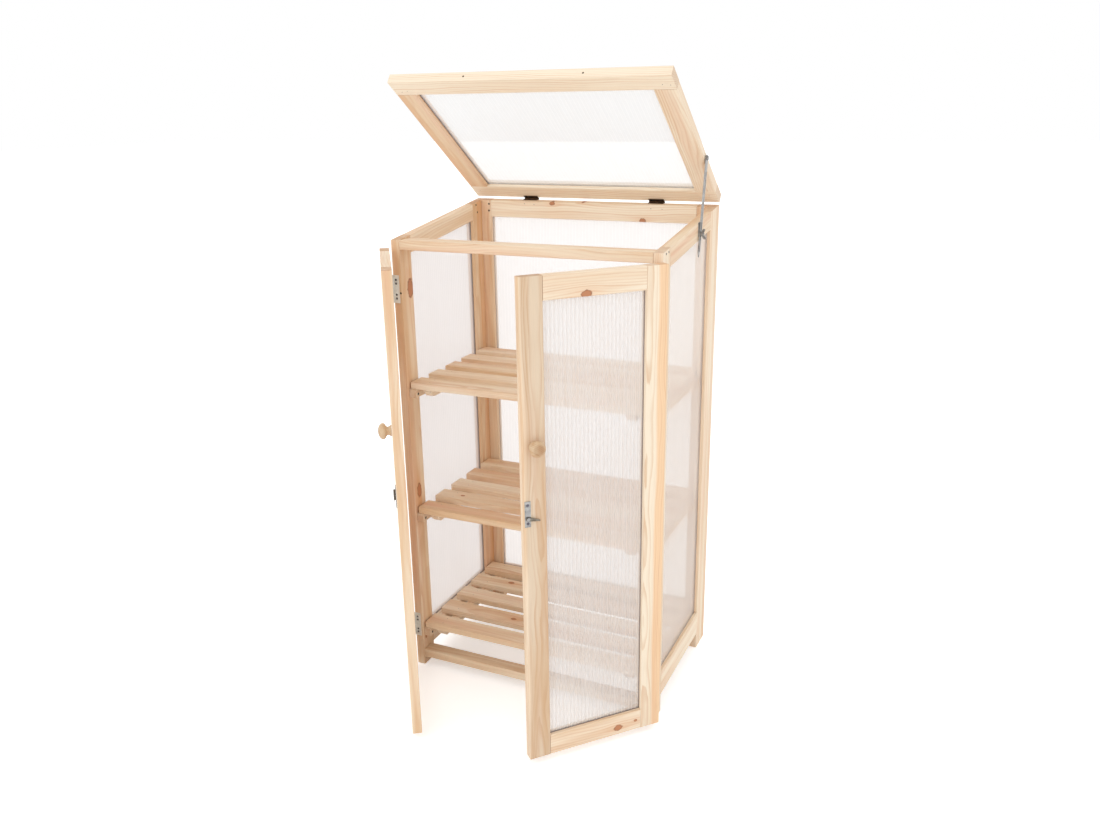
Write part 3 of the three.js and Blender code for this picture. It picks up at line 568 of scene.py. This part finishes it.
def sheet_group():
    """A twin-wall sheet's cover and colour. Its ribs stand one apart along X, and Edge is the distance
    in millimetres to the groove that holds it; near the groove the colour is darkened as painted shade."""
    tree, bench, given, wanted = node_group(
        "fluted_twin_wall",
        {
            "Flutes": "vector",
            "Haze": "value",
            "Ribs": "value",
            "Edge": "value",
            "Painted Shade": "color",
            "Seed": "value",
        },
        {"Cover": "value", "Color": "color", "Roughness": "value"},
    )
    across, along, _ = bench.parts(given["Flutes"])
    from_rib = bench.maths("ABSOLUTE", bench.maths("SUBTRACT", bench.maths("FRACT", across), 0.5))
    rib = bench.ramp(from_rib, 0.32, 0.5)
    crown = bench.ramp(from_rib, 0.0, 0.12, 1.0, 0.0)
    number = bench.maths("ADD", bench.maths("FLOOR", across), given["Seed"])
    each = bench.add("ShaderNodeTexWhiteNoise", {"W": number}, noise_dimensions="1D")
    relief = bench.maths("MULTIPLY_ADD", rib, 0.3, bench.maths("MULTIPLY_ADD", crown, 0.06, -0.11))
    relief = bench.maths("MULTIPLY_ADD", each, 0.05, relief)
    cover = bench.maths("MULTIPLY_ADD", relief, given["Ribs"], given["Haze"])
    slow = bench.joined(bench.maths("MULTIPLY", across, 0.1), bench.maths("MULTIPLY", along, 0.004), 0.0)
    haze = bench.noise(slow, given["Seed"], 1.0, 1.0)
    cover = bench.maths("MULTIPLY_ADD", haze, 0.06, cover)
    tint = bench.maths("MULTIPLY", bench.maths("MULTIPLY", rib, 0.5), given["Ribs"])
    color = bench.mix(tint, SHEET_WHITE, RIB_WHITE)
    # Painted shade: a tint that darkens the whole sheet.
    color = bench.mix(1.0, color, given["Painted Shade"], "MULTIPLY")
    # Painted shade: near its groove the sheet turns dark brown and nearly opaque.
    shade = bench.ramp(given["Edge"], 0.0, 1.6, 0.85, 0.0)
    cover = bench.maths("MAXIMUM", cover, shade)
    color = bench.mix(shade, color, GROOVE_PAINTED_SHADE)
    for label, value in {"Cover": cover, "Color": color}.items():
        tree.links.new(value, wanted[label])
    tree.links.new(bench.ramp(each, 0.0, 1.0, 0.28, 0.42), wanted["Roughness"])
    return tree


SHEET = sheet_group()
GROOVE_REACH = 7.4  # how much of a sheet its groove hides
# An edge reach that leaves no painted shade along the groove.
NO_DARK_EDGE = -5.0
# Painted shade: tints that darken and warm the side and back sheets, which are the same sheet as the clear
# doors' and lid's.
NO_SHEET_PAINTED_SHADE = (1, 1, 1, 1)
SIDE_SHEET_PAINTED_SHADE = linear(239, 233, 231)
FAR_SIDE_SHEET_PAINTED_SHADE = linear(254, 250, 246)
BACK_SHEET_PAINTED_SHADE = linear(243, 238, 236)


def sheet_material(name, location, rotation, low, high, pitch, ribs, haze, sheet_painted_shade, edge_reach):
    material, bench = new_material(f"fluted_{name}")
    place = mapped(bench, location, rotation)
    place = bench.vector("SUBTRACT", place, (low.x, low.y, 0.0))
    flutes = bench.vector("MULTIPLY", place, (1 / pitch, 1.0, 1.0))
    walls = material.node_tree.nodes.new("ShaderNodeGroup")
    walls.node_tree = SHEET
    material.node_tree.links.new(flutes, walls.inputs["Flutes"])
    walls.inputs["Ribs"].default_value = ribs
    walls.inputs["Haze"].default_value = haze
    walls.inputs["Painted Shade"].default_value = sheet_painted_shade
    across = bench.parts(place)[0]
    from_far_edge = bench.maths("SUBTRACT", high.x - low.x, across)
    from_edge = bench.maths("MINIMUM", across, from_far_edge)
    from_edge = bench.maths("MINIMUM", from_edge, bench.parts(place)[1])
    edge = bench.maths("SUBTRACT", from_edge, edge_reach)
    material.node_tree.links.new(edge, walls.inputs["Edge"])
    walls.inputs["Seed"].default_value = random.Random(name).uniform(0, 90)
    values = {"Base Color": walls.outputs["Color"], "Roughness": walls.outputs["Roughness"]}
    gloss = bench.add("ShaderNodeBsdfPrincipled", values)
    through = bench.add("ShaderNodeBsdfTranslucent", {"Color": walls.outputs["Color"]})
    body = bench.add("ShaderNodeMixShader", [0.5, gloss, through])
    clear = bench.add("ShaderNodeBsdfTransparent", {"Color": (1, 1, 1, 1)})
    surface(bench, bench.add("ShaderNodeMixShader", [walls.outputs["Cover"], clear, body]))
    return material


ZINC = metal_material("zinc_plating", linear(180, 179, 177), linear(132, 131, 131), 0.34)
# Partly painted light: the hinges' plating is near white and barely metallic, so that the shaded hinges come
# out bright.
HINGE_ZINC_AND_PAINTED_LIGHT = metal_material("pale_zinc_and_painted_light", linear(250, 248, 242), linear(228, 226, 218), 0.42, 0.2)
LEVER_STEEL_AND_PAINTED_SHADE = metal_material("lever_steel_and_painted_shade", linear(140, 134, 124), linear(96, 84, 70), 0.36)
BRONZE = metal_material("bronzed_steel", linear(100, 70, 46), linear(62, 44, 30), 0.4, 0.85)
SCREW_STEEL = metal_material("screw_steel", linear(132, 128, 136), linear(88, 84, 92), 0.34)
DARK_SCREW = metal_material("oiled_screw", linear(72, 58, 46), linear(42, 34, 28), 0.45, 0.5)


# Modelling
def add_bar(mesh, low, high, arris=0.0, steps=2):
    """A bar between two corners, its edges eased."""
    low, high = Vector(low), Vector(high)
    made = bmesh.ops.create_cube(mesh, size=1)["verts"]
    size = high - low
    stretch = moved(*((low + high) / 2)) @ Matrix.Diagonal((*size, 1))
    bmesh.ops.transform(mesh, matrix=stretch, verts=made)
    if arris:
        held = set(made)
        edges = [edge for edge in mesh.edges if held.issuperset(edge.verts)]
        ease(mesh, edges, arris, steps)


def ease(mesh, edges, width, steps=2):
    bmesh.ops.bevel(
        mesh,
        geom=edges,
        offset=width,
        offset_type="OFFSET",
        segments=steps,
        profile=0.5,
        affect="EDGES",
        material=-1,
    )


def add_turned(mesh, profile, place=Matrix.Identity(4), sides=48):
    """A turned piece, from pairs of radius and distance along Z."""
    before = len(mesh.verts)
    points = [mesh.verts.new((radius, 0, distance)) for radius, distance in profile]
    edges = [mesh.edges.new(pair) for pair in zip(points, points[1:])]
    bmesh.ops.spin(
        mesh,
        geom=points + edges,
        cent=(0, 0, 0),
        axis=(0, 0, 1),
        angle=math.tau,
        steps=sides,
        use_merge=True,
    )
    mesh.verts.ensure_lookup_table()
    bmesh.ops.transform(mesh, matrix=place, verts=mesh.verts[before:])


def finished(name, mesh, place, body, slot, material, stands_for=(), smooth=None):
    """Lays a modelled mesh into the part as a piece of a body. Angles up to smooth are shaded round."""
    bmesh.ops.remove_doubles(mesh, verts=mesh.verts, dist=0.0005)
    bmesh.ops.recalc_face_normals(mesh, faces=mesh.faces)
    bmesh.ops.transform(mesh, matrix=place, verts=mesh.verts)
    data = bpy.data.meshes.new(name)
    mesh.to_mesh(data)
    mesh.free()
    if smooth:
        data.shade_smooth()
        data.set_sharp_from_angle(angle=math.radians(smooth))
    data.materials.append(material)
    piece = bpy.data.objects.new(name, data)
    bpy.context.scene.collection.objects.link(piece)
    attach(piece, body)
    if stands_for:
        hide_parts(*stands_for)
    return piece


SAME_CORNER = 0.00001  # metres
SHARP_EDGE = 50
TIMBER_EASE = 0.8
FITTING_EASE = 0.2


def soften(name, width):
    """Eases the sharp edges of a solid, whose triangles are first joined at their corners."""
    weld = frame["nodes"][name].modifiers.new("joined_corners", "WELD")
    weld.merge_threshold = SAME_CORNER
    bevel = frame["nodes"][name].modifiers.new("eased_edges", "BEVEL")
    bevel.width = width / 1000
    bevel.segments = 2
    bevel.limit_method = "ANGLE"
    bevel.angle_limit = math.radians(SHARP_EDGE)
    bevel.harden_normals = False


# Timbers of the solids keep their shapes and get their own boards' grain
def dress_timber(name, place, honey):
    low, high = node_corners(name, place)
    material = pine_material(name, low, high, place, honey)
    soften(name, TIMBER_EASE)
    for holder in frame["nodes"][name].material_slots:
        holder.material = material


for side in ("left", "right"):
    for timber in ("front_stile", "rear_stile", "bottom_rail"):
        dress_timber(f"{side}_side_{timber}", PLACES["carcass"], 0.3)
    dress_timber(f"{side}_side_top_rail", PLACES["slope"], 0.4)
    for level in ("middle", "upper"):
        dress_timber(f"{level}_{side}_cleat", PLACES["carcass"], 0.4)
    for timber in ("hinge_stile", "latch_stile", "bottom_rail", "top_rail"):
        dress_timber(f"{side}_door_{timber}", PLACES[f"{side}_door"], 0.1)
for timber in ("back_left_stile", "back_right_stile", "back_bottom_rail", "back_top_rail"):
    dress_timber(timber, PLACES["carcass"], 0.45)
for timber in ("front_top_rail", "front_bottom_rail"):
    dress_timber(timber, PLACES["carcass"], 0.2)
for timber in ("lid_hinge_rail", "lid_free_rail", "lid_left_stile", "lid_right_stile"):
    dress_timber(timber, PLACES["lid"], 0.3)


# Shelves
def slat_material(name, low, high, honey):
    return pine_material(name, Vector(low), Vector(high), PLACES["carcass"], honey)


def shelf(label, seat):
    """Five slats nailed across two battens, which are bevelled at the front."""
    body = f"{label}_shelf"
    bottom = seat + JOINT_LINE
    top = bottom + SLAT_THICKNESS
    for number in range(SLAT_COUNT):
        front = SHELF_FRONT + number * SLAT_PITCH
        low = (-SHELF_HALF_LENGTH, front, bottom)
        high = (SHELF_HALF_LENGTH, front + SLAT_WIDTH, top)
        name = f"{body}_slat_{number + 1}"
        mesh = bmesh.new()
        add_bar(mesh, low, high, ARRIS)
        stands_for = (body,) if number == 0 else ()
        material = slat_material(name, low, high, 0.32 + 0.45 * random.Random(name).random())
        finished(name, mesh, PLACES["carcass"], body, "pine", material, stands_for)
    back = SHELF_FRONT + (SLAT_COUNT - 1) * SLAT_PITCH + SLAT_WIDTH
    for side, way in (("left", -1), ("right", 1)):
        outer = way * (SHELF_HALF_LENGTH - BATTEN_FROM_END)
        inner = outer - way * BATTEN_WIDTH
        low = (min(inner, outer), SHELF_FRONT, bottom - BATTEN_THICKNESS)
        high = (max(inner, outer), back, bottom)
        name = f"{body}_{side}_batten"
        mesh = bmesh.new()
        add_bar(mesh, low, high)
        nose = []
        for edge in mesh.edges:
            away = [max(abs(vertex.co.y - low[1]), abs(vertex.co.z - low[2])) for vertex in edge.verts]
            if max(away) < SAME_PLACE:
                nose.append(edge)
        ease(mesh, nose, BATTEN_BEVEL, 1)
        ease(mesh, list(mesh.edges), ARRIS / 2)
        material = slat_material(name, low, high, 0.3)
        finished(name, mesh, PLACES["carcass"], body, "pine", material)


for label, seat in SHELVES.items():
    shelf(label, seat)


# Fluted sheets. U runs across the flutes, V along them and W through the sheet.
UPRIGHT_IN_DOOR = Matrix(((1, 0, 0), (0, 0, -1), (0, 1, 0))).to_4x4()
UPRIGHT_IN_SIDE = Matrix(((0, 0, 1), (1, 0, 0), (0, 1, 0))).to_4x4()
FLAT_IN_LID = Matrix.Identity(4)


def sheet_mapping(place):
    """Where a sheet's own frame lies, as a location and a rotation for a Mapping node."""
    back = place.inverted()
    turn = (back.to_3x3() * 0.001).to_euler("XYZ")
    return back.translation, turn


def fluted_sheet(
    label, body, laid, ribs, haze, climb=0.0, sheet_painted_shade=NO_SHEET_PAINTED_SHADE, edge_reach=GROOVE_REACH
):
    """A twin-wall sheet whose faces sink a little between its ribs. Its top may climb along U."""
    name = f"{label}_sheet"
    stands_for = f"{label}_panel"
    place = PLACES[body] @ laid
    low, high = node_corners(stands_for, place)
    width = high.x - low.x
    flutes = round(width / FLUTE_PITCH)
    mesh = bmesh.new()
    bmesh.ops.create_grid(mesh, x_segments=2 * flutes, y_segments=1, size=0.5)
    for vertex in mesh.verts:
        column = round((vertex.co.x + 0.5) * 2 * flutes)
        u = low.x + (vertex.co.x + 0.5) * width
        top = high.y - climb * (high.x - u)
        v = top if vertex.co.y > 0 else low.y
        w = low.z + (FLUTE_SINK if column % 2 else 0.0)
        vertex.co = (u, v, w)
    far = bmesh.ops.extrude_face_region(mesh, geom=list(mesh.faces), use_keep_orig=True)["geom"]
    for vertex in far:
        if isinstance(vertex, bmesh.types.BMVert):
            vertex.co.z = low.z + high.z - vertex.co.z
    location, rotation = sheet_mapping(place)
    pitch = width / flutes
    material = sheet_material(name, location, rotation, low, high, pitch, ribs, haze, sheet_painted_shade, edge_reach)
    return finished(name, mesh, place, body, "fluted_sheet", material, (stands_for,))


ROOF_CLIMB = math.tan(math.radians(ROOF_PITCH))
FAINT_RIBS, CLEAR_RIBS = 0.15, 1.0
fluted_sheet("left_side", "carcass", UPRIGHT_IN_SIDE, FAINT_RIBS, 0.48, ROOF_CLIMB, SIDE_SHEET_PAINTED_SHADE)
fluted_sheet(
    "right_side", "carcass", UPRIGHT_IN_SIDE, FAINT_RIBS, 0.48, ROOF_CLIMB, FAR_SIDE_SHEET_PAINTED_SHADE, NO_DARK_EDGE
)
fluted_sheet("back", "carcass", UPRIGHT_IN_DOOR, FAINT_RIBS, 0.36, 0.0, BACK_SHEET_PAINTED_SHADE, NO_DARK_EDGE)
fluted_sheet("left_door", "left_door", UPRIGHT_IN_DOOR, CLEAR_RIBS, 0.45)
fluted_sheet("right_door", "right_door", UPRIGHT_IN_DOOR, CLEAR_RIBS, 0.45)
fluted_sheet("lid", "lid", FLAT_IN_LID, FAINT_RIBS, 0.42)

# Knobs, turned with the grain along their axes
KNOB_PROFILE = [
    (0, 0), (10.6, 0), (11, 0.4), (11, 1.3), (10.5, 2.2), (9.2, 4.2), (8.2, 6.2), (8, 7.6), (8.5, 9),
    (10.2, 10.5), (12.8, 11.8), (14.7, 13.4), (15.6, 15.2), (15.8, 17), (15.2, 19.3), (13.6, 21.6),
    (11.2, 23.4), (8.2, 24.8), (4.4, 25.7), (0, 26),
]
KNOB_HONEY = 0.3
# Partly painted shade: the stain darkens and greys the knob's wood, standing in for the shading under the
# ball.
KNOB_STAIN_AND_PAINTED_SHADE = linear(222, 210, 194)


def door_knob(side, way):
    name = f"{side}_knob_turned"
    place = PLACES[f"{side}_door"]
    spot = moved(-way * KNOB_REACH, -DOOR_FACE - JOINT_LINE, KNOB_HEIGHT) @ turned("X", 90)
    mesh = bmesh.new()
    add_turned(mesh, KNOB_PROFILE, spot, 64)
    low, high = Vector((-10, -60, -10)), Vector((10, 60, 10))
    block = place @ spot @ turned("X", -90)
    material = pine_material(name, low, high, block, KNOB_HONEY, KNOB_STAIN_AND_PAINTED_SHADE)
    finished(name, mesh, place, f"{side}_door", "knob_wood", material, (f"{side}_door_knob",), 40)


for side, way in (("left", -1), ("right", 1)):
    door_knob(side, way)

# Plated fittings keep their solids
HINGE_NODES = [
    f"{side}_{level}_hinge_{owner}_leaf"
    for side in ("left", "right")
    for level in ("lower", "upper")
    for owner in ("frame", "door")
]
ZINC_NODES = ["latch_plate", "stay_pivot_screw", "stay_bolt_bracket", "stay_bar", "stay_wing_nut"]
BRONZE_NODES = [f"lid_{side}_hinge_{owner}_leaf" for side in ("left", "right") for owner in ("frame", "lid")]
FITTINGS = (
    (ZINC_NODES, ZINC),
    (HINGE_NODES, HINGE_ZINC_AND_PAINTED_LIGHT),
    (BRONZE_NODES, BRONZE),
    # Painted shade: the keeper is given the lever's dark steel for the shadow on its tab.
    (["latch_lever", "latch_keeper"], LEVER_STEEL_AND_PAINTED_SHADE),
)
for names, material in FITTINGS:
    for name in names:
        soften(name, FITTING_EASE)
        for holder in frame["nodes"][name].material_slots:
            holder.material = material


# Screws, nails and brads. A recess and an underside are given as shares of the head's size.
RECESS_WIDTH = 0.3
RECESS_DEPTH = 0.6
UNDERSIDE = 0.55
HALF_STEP = 15  # half the angle between two of the rim's twelve corners


def template_of(mesh):
    """A head's mesh, kept to be copied."""
    bmesh.ops.recalc_face_normals(mesh, faces=mesh.faces)
    template = bpy.data.meshes.new("head")
    mesh.to_mesh(template)
    mesh.free()
    return template


def cross_head(radius, thickness):
    """A countersunk head with a cross recess, its top at Z 0 and its underside downwards."""
    mesh = bmesh.new()
    bar = radius * RECESS_WIDTH
    bmesh.ops.create_grid(mesh, x_segments=3, y_segments=3, size=bar * 1.5)
    rim = [edge for edge in mesh.edges if edge.is_boundary]
    ring = bmesh.ops.create_circle(mesh, cap_ends=False, segments=12, radius=radius)["verts"]
    bmesh.ops.transform(mesh, matrix=turned("Z", HALF_STEP), verts=ring)
    held = set(ring)
    outside = [edge for edge in mesh.edges if held.issuperset(edge.verts)]
    bmesh.ops.bridge_loops(mesh, edges=rim + outside)
    cross = [
        face
        for face in mesh.faces
        if len(face.verts) == 4
        and face.calc_center_median().length < bar * 1.2
        and all(abs(vertex.co.x) < bar * 1.6 and abs(vertex.co.y) < bar * 1.6 for vertex in face.verts)
    ]
    sunk = bmesh.ops.extrude_face_region(mesh, geom=cross)["geom"]
    floor_points = [item for item in sunk if isinstance(item, bmesh.types.BMVert)]
    bmesh.ops.translate(mesh, verts=floor_points, vec=(0, 0, -thickness * RECESS_DEPTH))
    bmesh.ops.delete(mesh, geom=cross, context="FACES_ONLY")
    edges = [edge for edge in mesh.edges if held.issuperset(edge.verts)]
    skirt = bmesh.ops.extrude_edge_only(mesh, edges=edges)["geom"]
    lowered = [item for item in skirt if isinstance(item, bmesh.types.BMVert)]
    shrink = moved(0, 0, -thickness) @ Matrix.Diagonal((UNDERSIDE, UNDERSIDE, 1, 1))
    bmesh.ops.transform(mesh, matrix=shrink, verts=lowered)
    open_edges = [edge for edge in mesh.edges if edge.is_boundary]
    bmesh.ops.contextual_create(mesh, geom=open_edges)
    return template_of(mesh)


def nail_head(radius, thickness):
    """A low round head, its top at Z 0."""
    mesh = bmesh.new()
    shares = ((0, 0), (0.6, 0.1), (0.92, 0.35), (1, 1), (0, 1))
    add_turned(mesh, [(radius * out, -thickness * down) for out, down in shares], sides=10)
    return template_of(mesh)


OUT_LEFT = turned("Y", -90)
OUT_RIGHT = turned("Y", 90)
OUT_FRONT = turned("X", 90)
OUT_BACK = turned("X", -90)
UP = Matrix.Identity(4)
DOWN = turned("X", 180)


def heads(name, holder, finish, template, spots, body=None):
    """Heads of one kind at several spots in a holder's frame, each turned at random about its own axis."""
    draw = random.Random(name)
    mesh = bmesh.new()
    for facing, point in spots:
        before = len(mesh.verts)
        mesh.from_mesh(template)
        mesh.verts.ensure_lookup_table()
        fresh = mesh.verts[before:]
        spot = moved(*point) @ facing @ turned("Z", draw.uniform(0, 360))
        bmesh.ops.transform(mesh, matrix=spot, verts=fresh)
    return finished(name, mesh, PLACES[holder], body or holder, *finish)


PLATE_SCREW = ("zinc_plate", SCREW_STEEL)
BRONZE_SCREW = ("bronzed_steel", BRONZE)
WOOD_SCREW = ("bronzed_steel", DARK_SCREW)
SHELF_NAIL = ("zinc_plate", DARK_SCREW)
LEAF_HEAD = cross_head(2.4, 0.9)
PLATE_HEAD = cross_head(3.2, 0.9)
CLEAT_HEAD = cross_head(3, 1.2)
SLAT_NAIL = nail_head(1.3, 0.5)
BRAD = nail_head(1.4, 0.5)
EDGE_SCREW = nail_head(2.5, 0.8)
CORNER_HEAD = cross_head(2.4, 1)
EDGE_SCREW_SINK = 1.5

for side, way in (("left", -1), ("right", 1)):
    pin_x = way * HINGE_PIN_X
    frame_spots = []
    door_spots = []
    for height in HINGE_HEIGHTS:
        for offset in HINGE_SCREWS:
            z = height + offset
            frame_spot = (pin_x - way * LEAF_SCREW_REACH, HINGE_PIN_Y + LEAF_INNER - HEAD_LIFT, z)
            frame_spots.append((OUT_FRONT, frame_spot))
            door_spots.append((OUT_BACK, (-way * LEAF_SCREW_REACH, -LEAF_INNER + HEAD_LIFT, z)))
    heads(f"{side}_hinge_frame_screws", "carcass", PLATE_SCREW, LEAF_HEAD, frame_spots)
    heads(f"{side}_hinge_door_screws", f"{side}_door", PLATE_SCREW, LEAF_HEAD, door_spots)

plate_y = -LATCH_PLATE_FACE - HEAD_LIFT
latch_spots = [(OUT_FRONT, (-LATCH_X, plate_y, LATCH_HEIGHT + rise)) for rise in LATCH_SCREWS]
heads("latch_plate_screws", "right_door", PLATE_SCREW, PLATE_HEAD, latch_spots)
keeper_spots = [(OUT_FRONT, (KEEPER_X, plate_y, LATCH_HEIGHT + rise)) for rise in KEEPER_SCREWS]
heads("keeper_screws", "left_door", PLATE_SCREW, PLATE_HEAD, keeper_spots)

lid_leaf_spots = []
slope_leaf_spots = []
for way in (-1, 1):
    for offset in LID_HINGE_SCREWS:
        across = way * LID_HINGE_REACH + offset
        lid_leaf_spots.append((DOWN, (across, -LID_LEAF_SCREW_REACH, LEAF_INNER - HEAD_LIFT)))
        slope_leaf_spots.append((UP, (across, -LID_LEAF_SCREW_REACH, -LEAF_INNER + HEAD_LIFT)))
heads("lid_hinge_lid_screws", "lid", BRONZE_SCREW, LEAF_HEAD, lid_leaf_spots)
heads("lid_hinge_frame_screws", "slope", BRONZE_SCREW, LEAF_HEAD, slope_leaf_spots, "carcass")

corner_spots = []
cleat_spots = []
for side, way in (("left", -1), ("right", 1)):
    outward = OUT_LEFT if way < 0 else OUT_RIGHT
    inward = OUT_RIGHT if way < 0 else OUT_LEFT
    for y, z in ((18, 1014.4), (33, 1016), (12, 31), (24, 31)):
        corner_spots.append((outward, (way * (SIDE_OUTER + PROUD), y, z)))
    for y, z in ((341.4, 1057.7), (347, 1039.9)):
        corner_spots.append((inward, (way * (SIDE_INNER - PROUD), y, z)))
    for seat in SHELVES.values():
        for y in (14, 356):
            cleat_spots.append((inward, (way * (CLEAT_FACE - PROUD), y, seat - 12)))
for x, z in ((-260.2, 1058.3), (-260.8, 1042.4)):
    corner_spots.append((OUT_FRONT, (x, BACK_RAIL_FACE - PROUD, z)))
heads("corner_screws", "carcass", WOOD_SCREW, CORNER_HEAD, corner_spots)
stile_spots = [(OUT_FRONT, (-282.6, -PROUD, 905.5))]
heads("left_stile_screw", "carcass", WOOD_SCREW, LEAF_HEAD, stile_spots)
heads("cleat_screws", "carcass", WOOD_SCREW, CLEAT_HEAD, cleat_spots)

RAIL_BRADS = ((-164.9, 1060.8), (-140.3, 1059.6), (149, 1058.1), (175.2, 1057.8))
rail_spots = [(OUT_FRONT, (x, BACK_RAIL_FACE - PROUD, z)) for x, z in RAIL_BRADS]
heads("back_rail_brads", "carcass", WOOD_SCREW, BRAD, rail_spots)
LID_BRADS = ((-282.7, -418), (-268.5, -421), (275.9, -423), (291.2, -421), (-282, -30), (282, -30))
lid_spots = [(DOWN, (x, y, LID_UNDERSIDE - PROUD)) for x, y in LID_BRADS]
heads("lid_brads", "lid", WOOD_SCREW, BRAD, lid_spots)

free_low, free_high = node_corners("lid_free_rail", PLACES["lid"])
edge_middle = (free_low.z + free_high.z) / 2
edge_spots = [(OUT_FRONT, (x, free_low.y + EDGE_SCREW_SINK, edge_middle)) for x in (-127, 127)]
heads("lid_edge_screws", "lid", WOOD_SCREW, EDGE_SCREW, edge_spots)

for label, seat in SHELVES.items():
    top = seat + JOINT_LINE + SLAT_THICKNESS + PROUD
    spots = []
    for number in range(SLAT_COUNT):
        front = SHELF_FRONT + number * SLAT_PITCH
        for way in (-1, 1):
            across = way * (SHELF_HALF_LENGTH - BATTEN_FROM_END - BATTEN_WIDTH / 2)
            for share in (0.25, 0.75):
                spots.append((UP, (across, front + share * SLAT_WIDTH, top)))
    heads(f"{label}_shelf_nails", "carcass", SHELF_NAIL, SLAT_NAIL, spots, f"{label}_shelf")

# Camera: the photograph's own viewpoint, found from the straight edges of the carcass, doors and lid
CAMERA_RIGHT, CAMERA_FRONT, CAMERA_HEIGHT = 0.85158, 1.71555, 1.28696
CAMERA_TURN, CAMERA_TILT, CAMERA_ROLL = 24.691, 17.801, 0.924
viewpoint = (carcass_middle + CAMERA_RIGHT, carcass_front - CAMERA_FRONT, CAMERA_HEIGHT)
aim = turned("Z", CAMERA_TURN) @ turned("X", 90 - CAMERA_TILT) @ turned("Z", -CAMERA_ROLL)
camera_data = bpy.data.cameras.new("photo_view")
camera_data.sensor_fit = "HORIZONTAL"
camera_data.sensor_width = 36
camera_data.lens = 31.4857
camera = bpy.data.objects.new("photo_view", camera_data)
camera.matrix_world = moved(*viewpoint) @ aim
bpy.context.scene.collection.objects.link(camera)
bpy.context.scene.camera = camera


# Studio
def lamp(name, place, target, size, watts):
    data = bpy.data.lights.new(name, "AREA")
    data.size = size
    data.energy = watts
    light = bpy.data.objects.new(name, data)
    aim = (Vector(target) - Vector(place)).to_track_quat("-Z", "Y")
    light.matrix_world = Matrix.Translation(place) @ aim.to_matrix().to_4x4()
    bpy.context.scene.collection.objects.link(light)


lamp("window_light", (-1.6, -2.6, 3.0), (0, 0, 0.6), size=2.5, watts=12)
lamp("fill_light", (1.0, -3.0, 0.5), (0, 0, 0.9), size=2.0, watts=9)

world = bpy.context.scene.world or bpy.data.worlds.new("studio")
bpy.context.scene.world = world
world.use_nodes = True
world.node_tree.nodes.clear()
room = Bench(world.node_tree)
room.add("ShaderNodeOutputWorld", {"Surface": room.add("ShaderNodeBackground", [(1, 1, 1, 1), 1.0])})


def seen_directly(bench):
    """One for the rays that show the background itself, and nought for those that light the object."""
    rays = bench.tree.nodes.new("ShaderNodeLightPath").outputs
    most = bench.maths("MAXIMUM", rays["Is Camera Ray"], rays["Is Glossy Ray"])
    return bench.maths("MAXIMUM", most, rays["Is Transmission Ray"])


FLOOR_HALF_SIZE = 30
FLOOR_WHITE = (0.95, 0.95, 0.95, 1)
FLOOR_GLOW = 0.4
floor_mesh = bmesh.new()
bmesh.ops.create_grid(floor_mesh, x_segments=1, y_segments=1, size=FLOOR_HALF_SIZE)
floor_data = bpy.data.meshes.new("studio_floor")
floor_mesh.to_mesh(floor_data)
floor_mesh.free()
floor_material, bench = new_material("white_floor")
paint = bench.add("ShaderNodeBsdfDiffuse", {"Color": FLOOR_WHITE})
glow_strength = bench.maths("MULTIPLY", seen_directly(bench), FLOOR_GLOW)
glow = bench.add("ShaderNodeEmission", {"Color": (1, 1, 1, 1), "Strength": glow_strength})
surface(bench, bench.add("ShaderNodeAddShader", [paint, glow]))
floor_data.materials.append(floor_material)
floor = bpy.data.objects.new("studio_floor", floor_data)
bpy.context.scene.collection.objects.link(floor)

bpy.context.scene.view_settings.view_transform = "Standard"

bpy.context.view_layer.update()
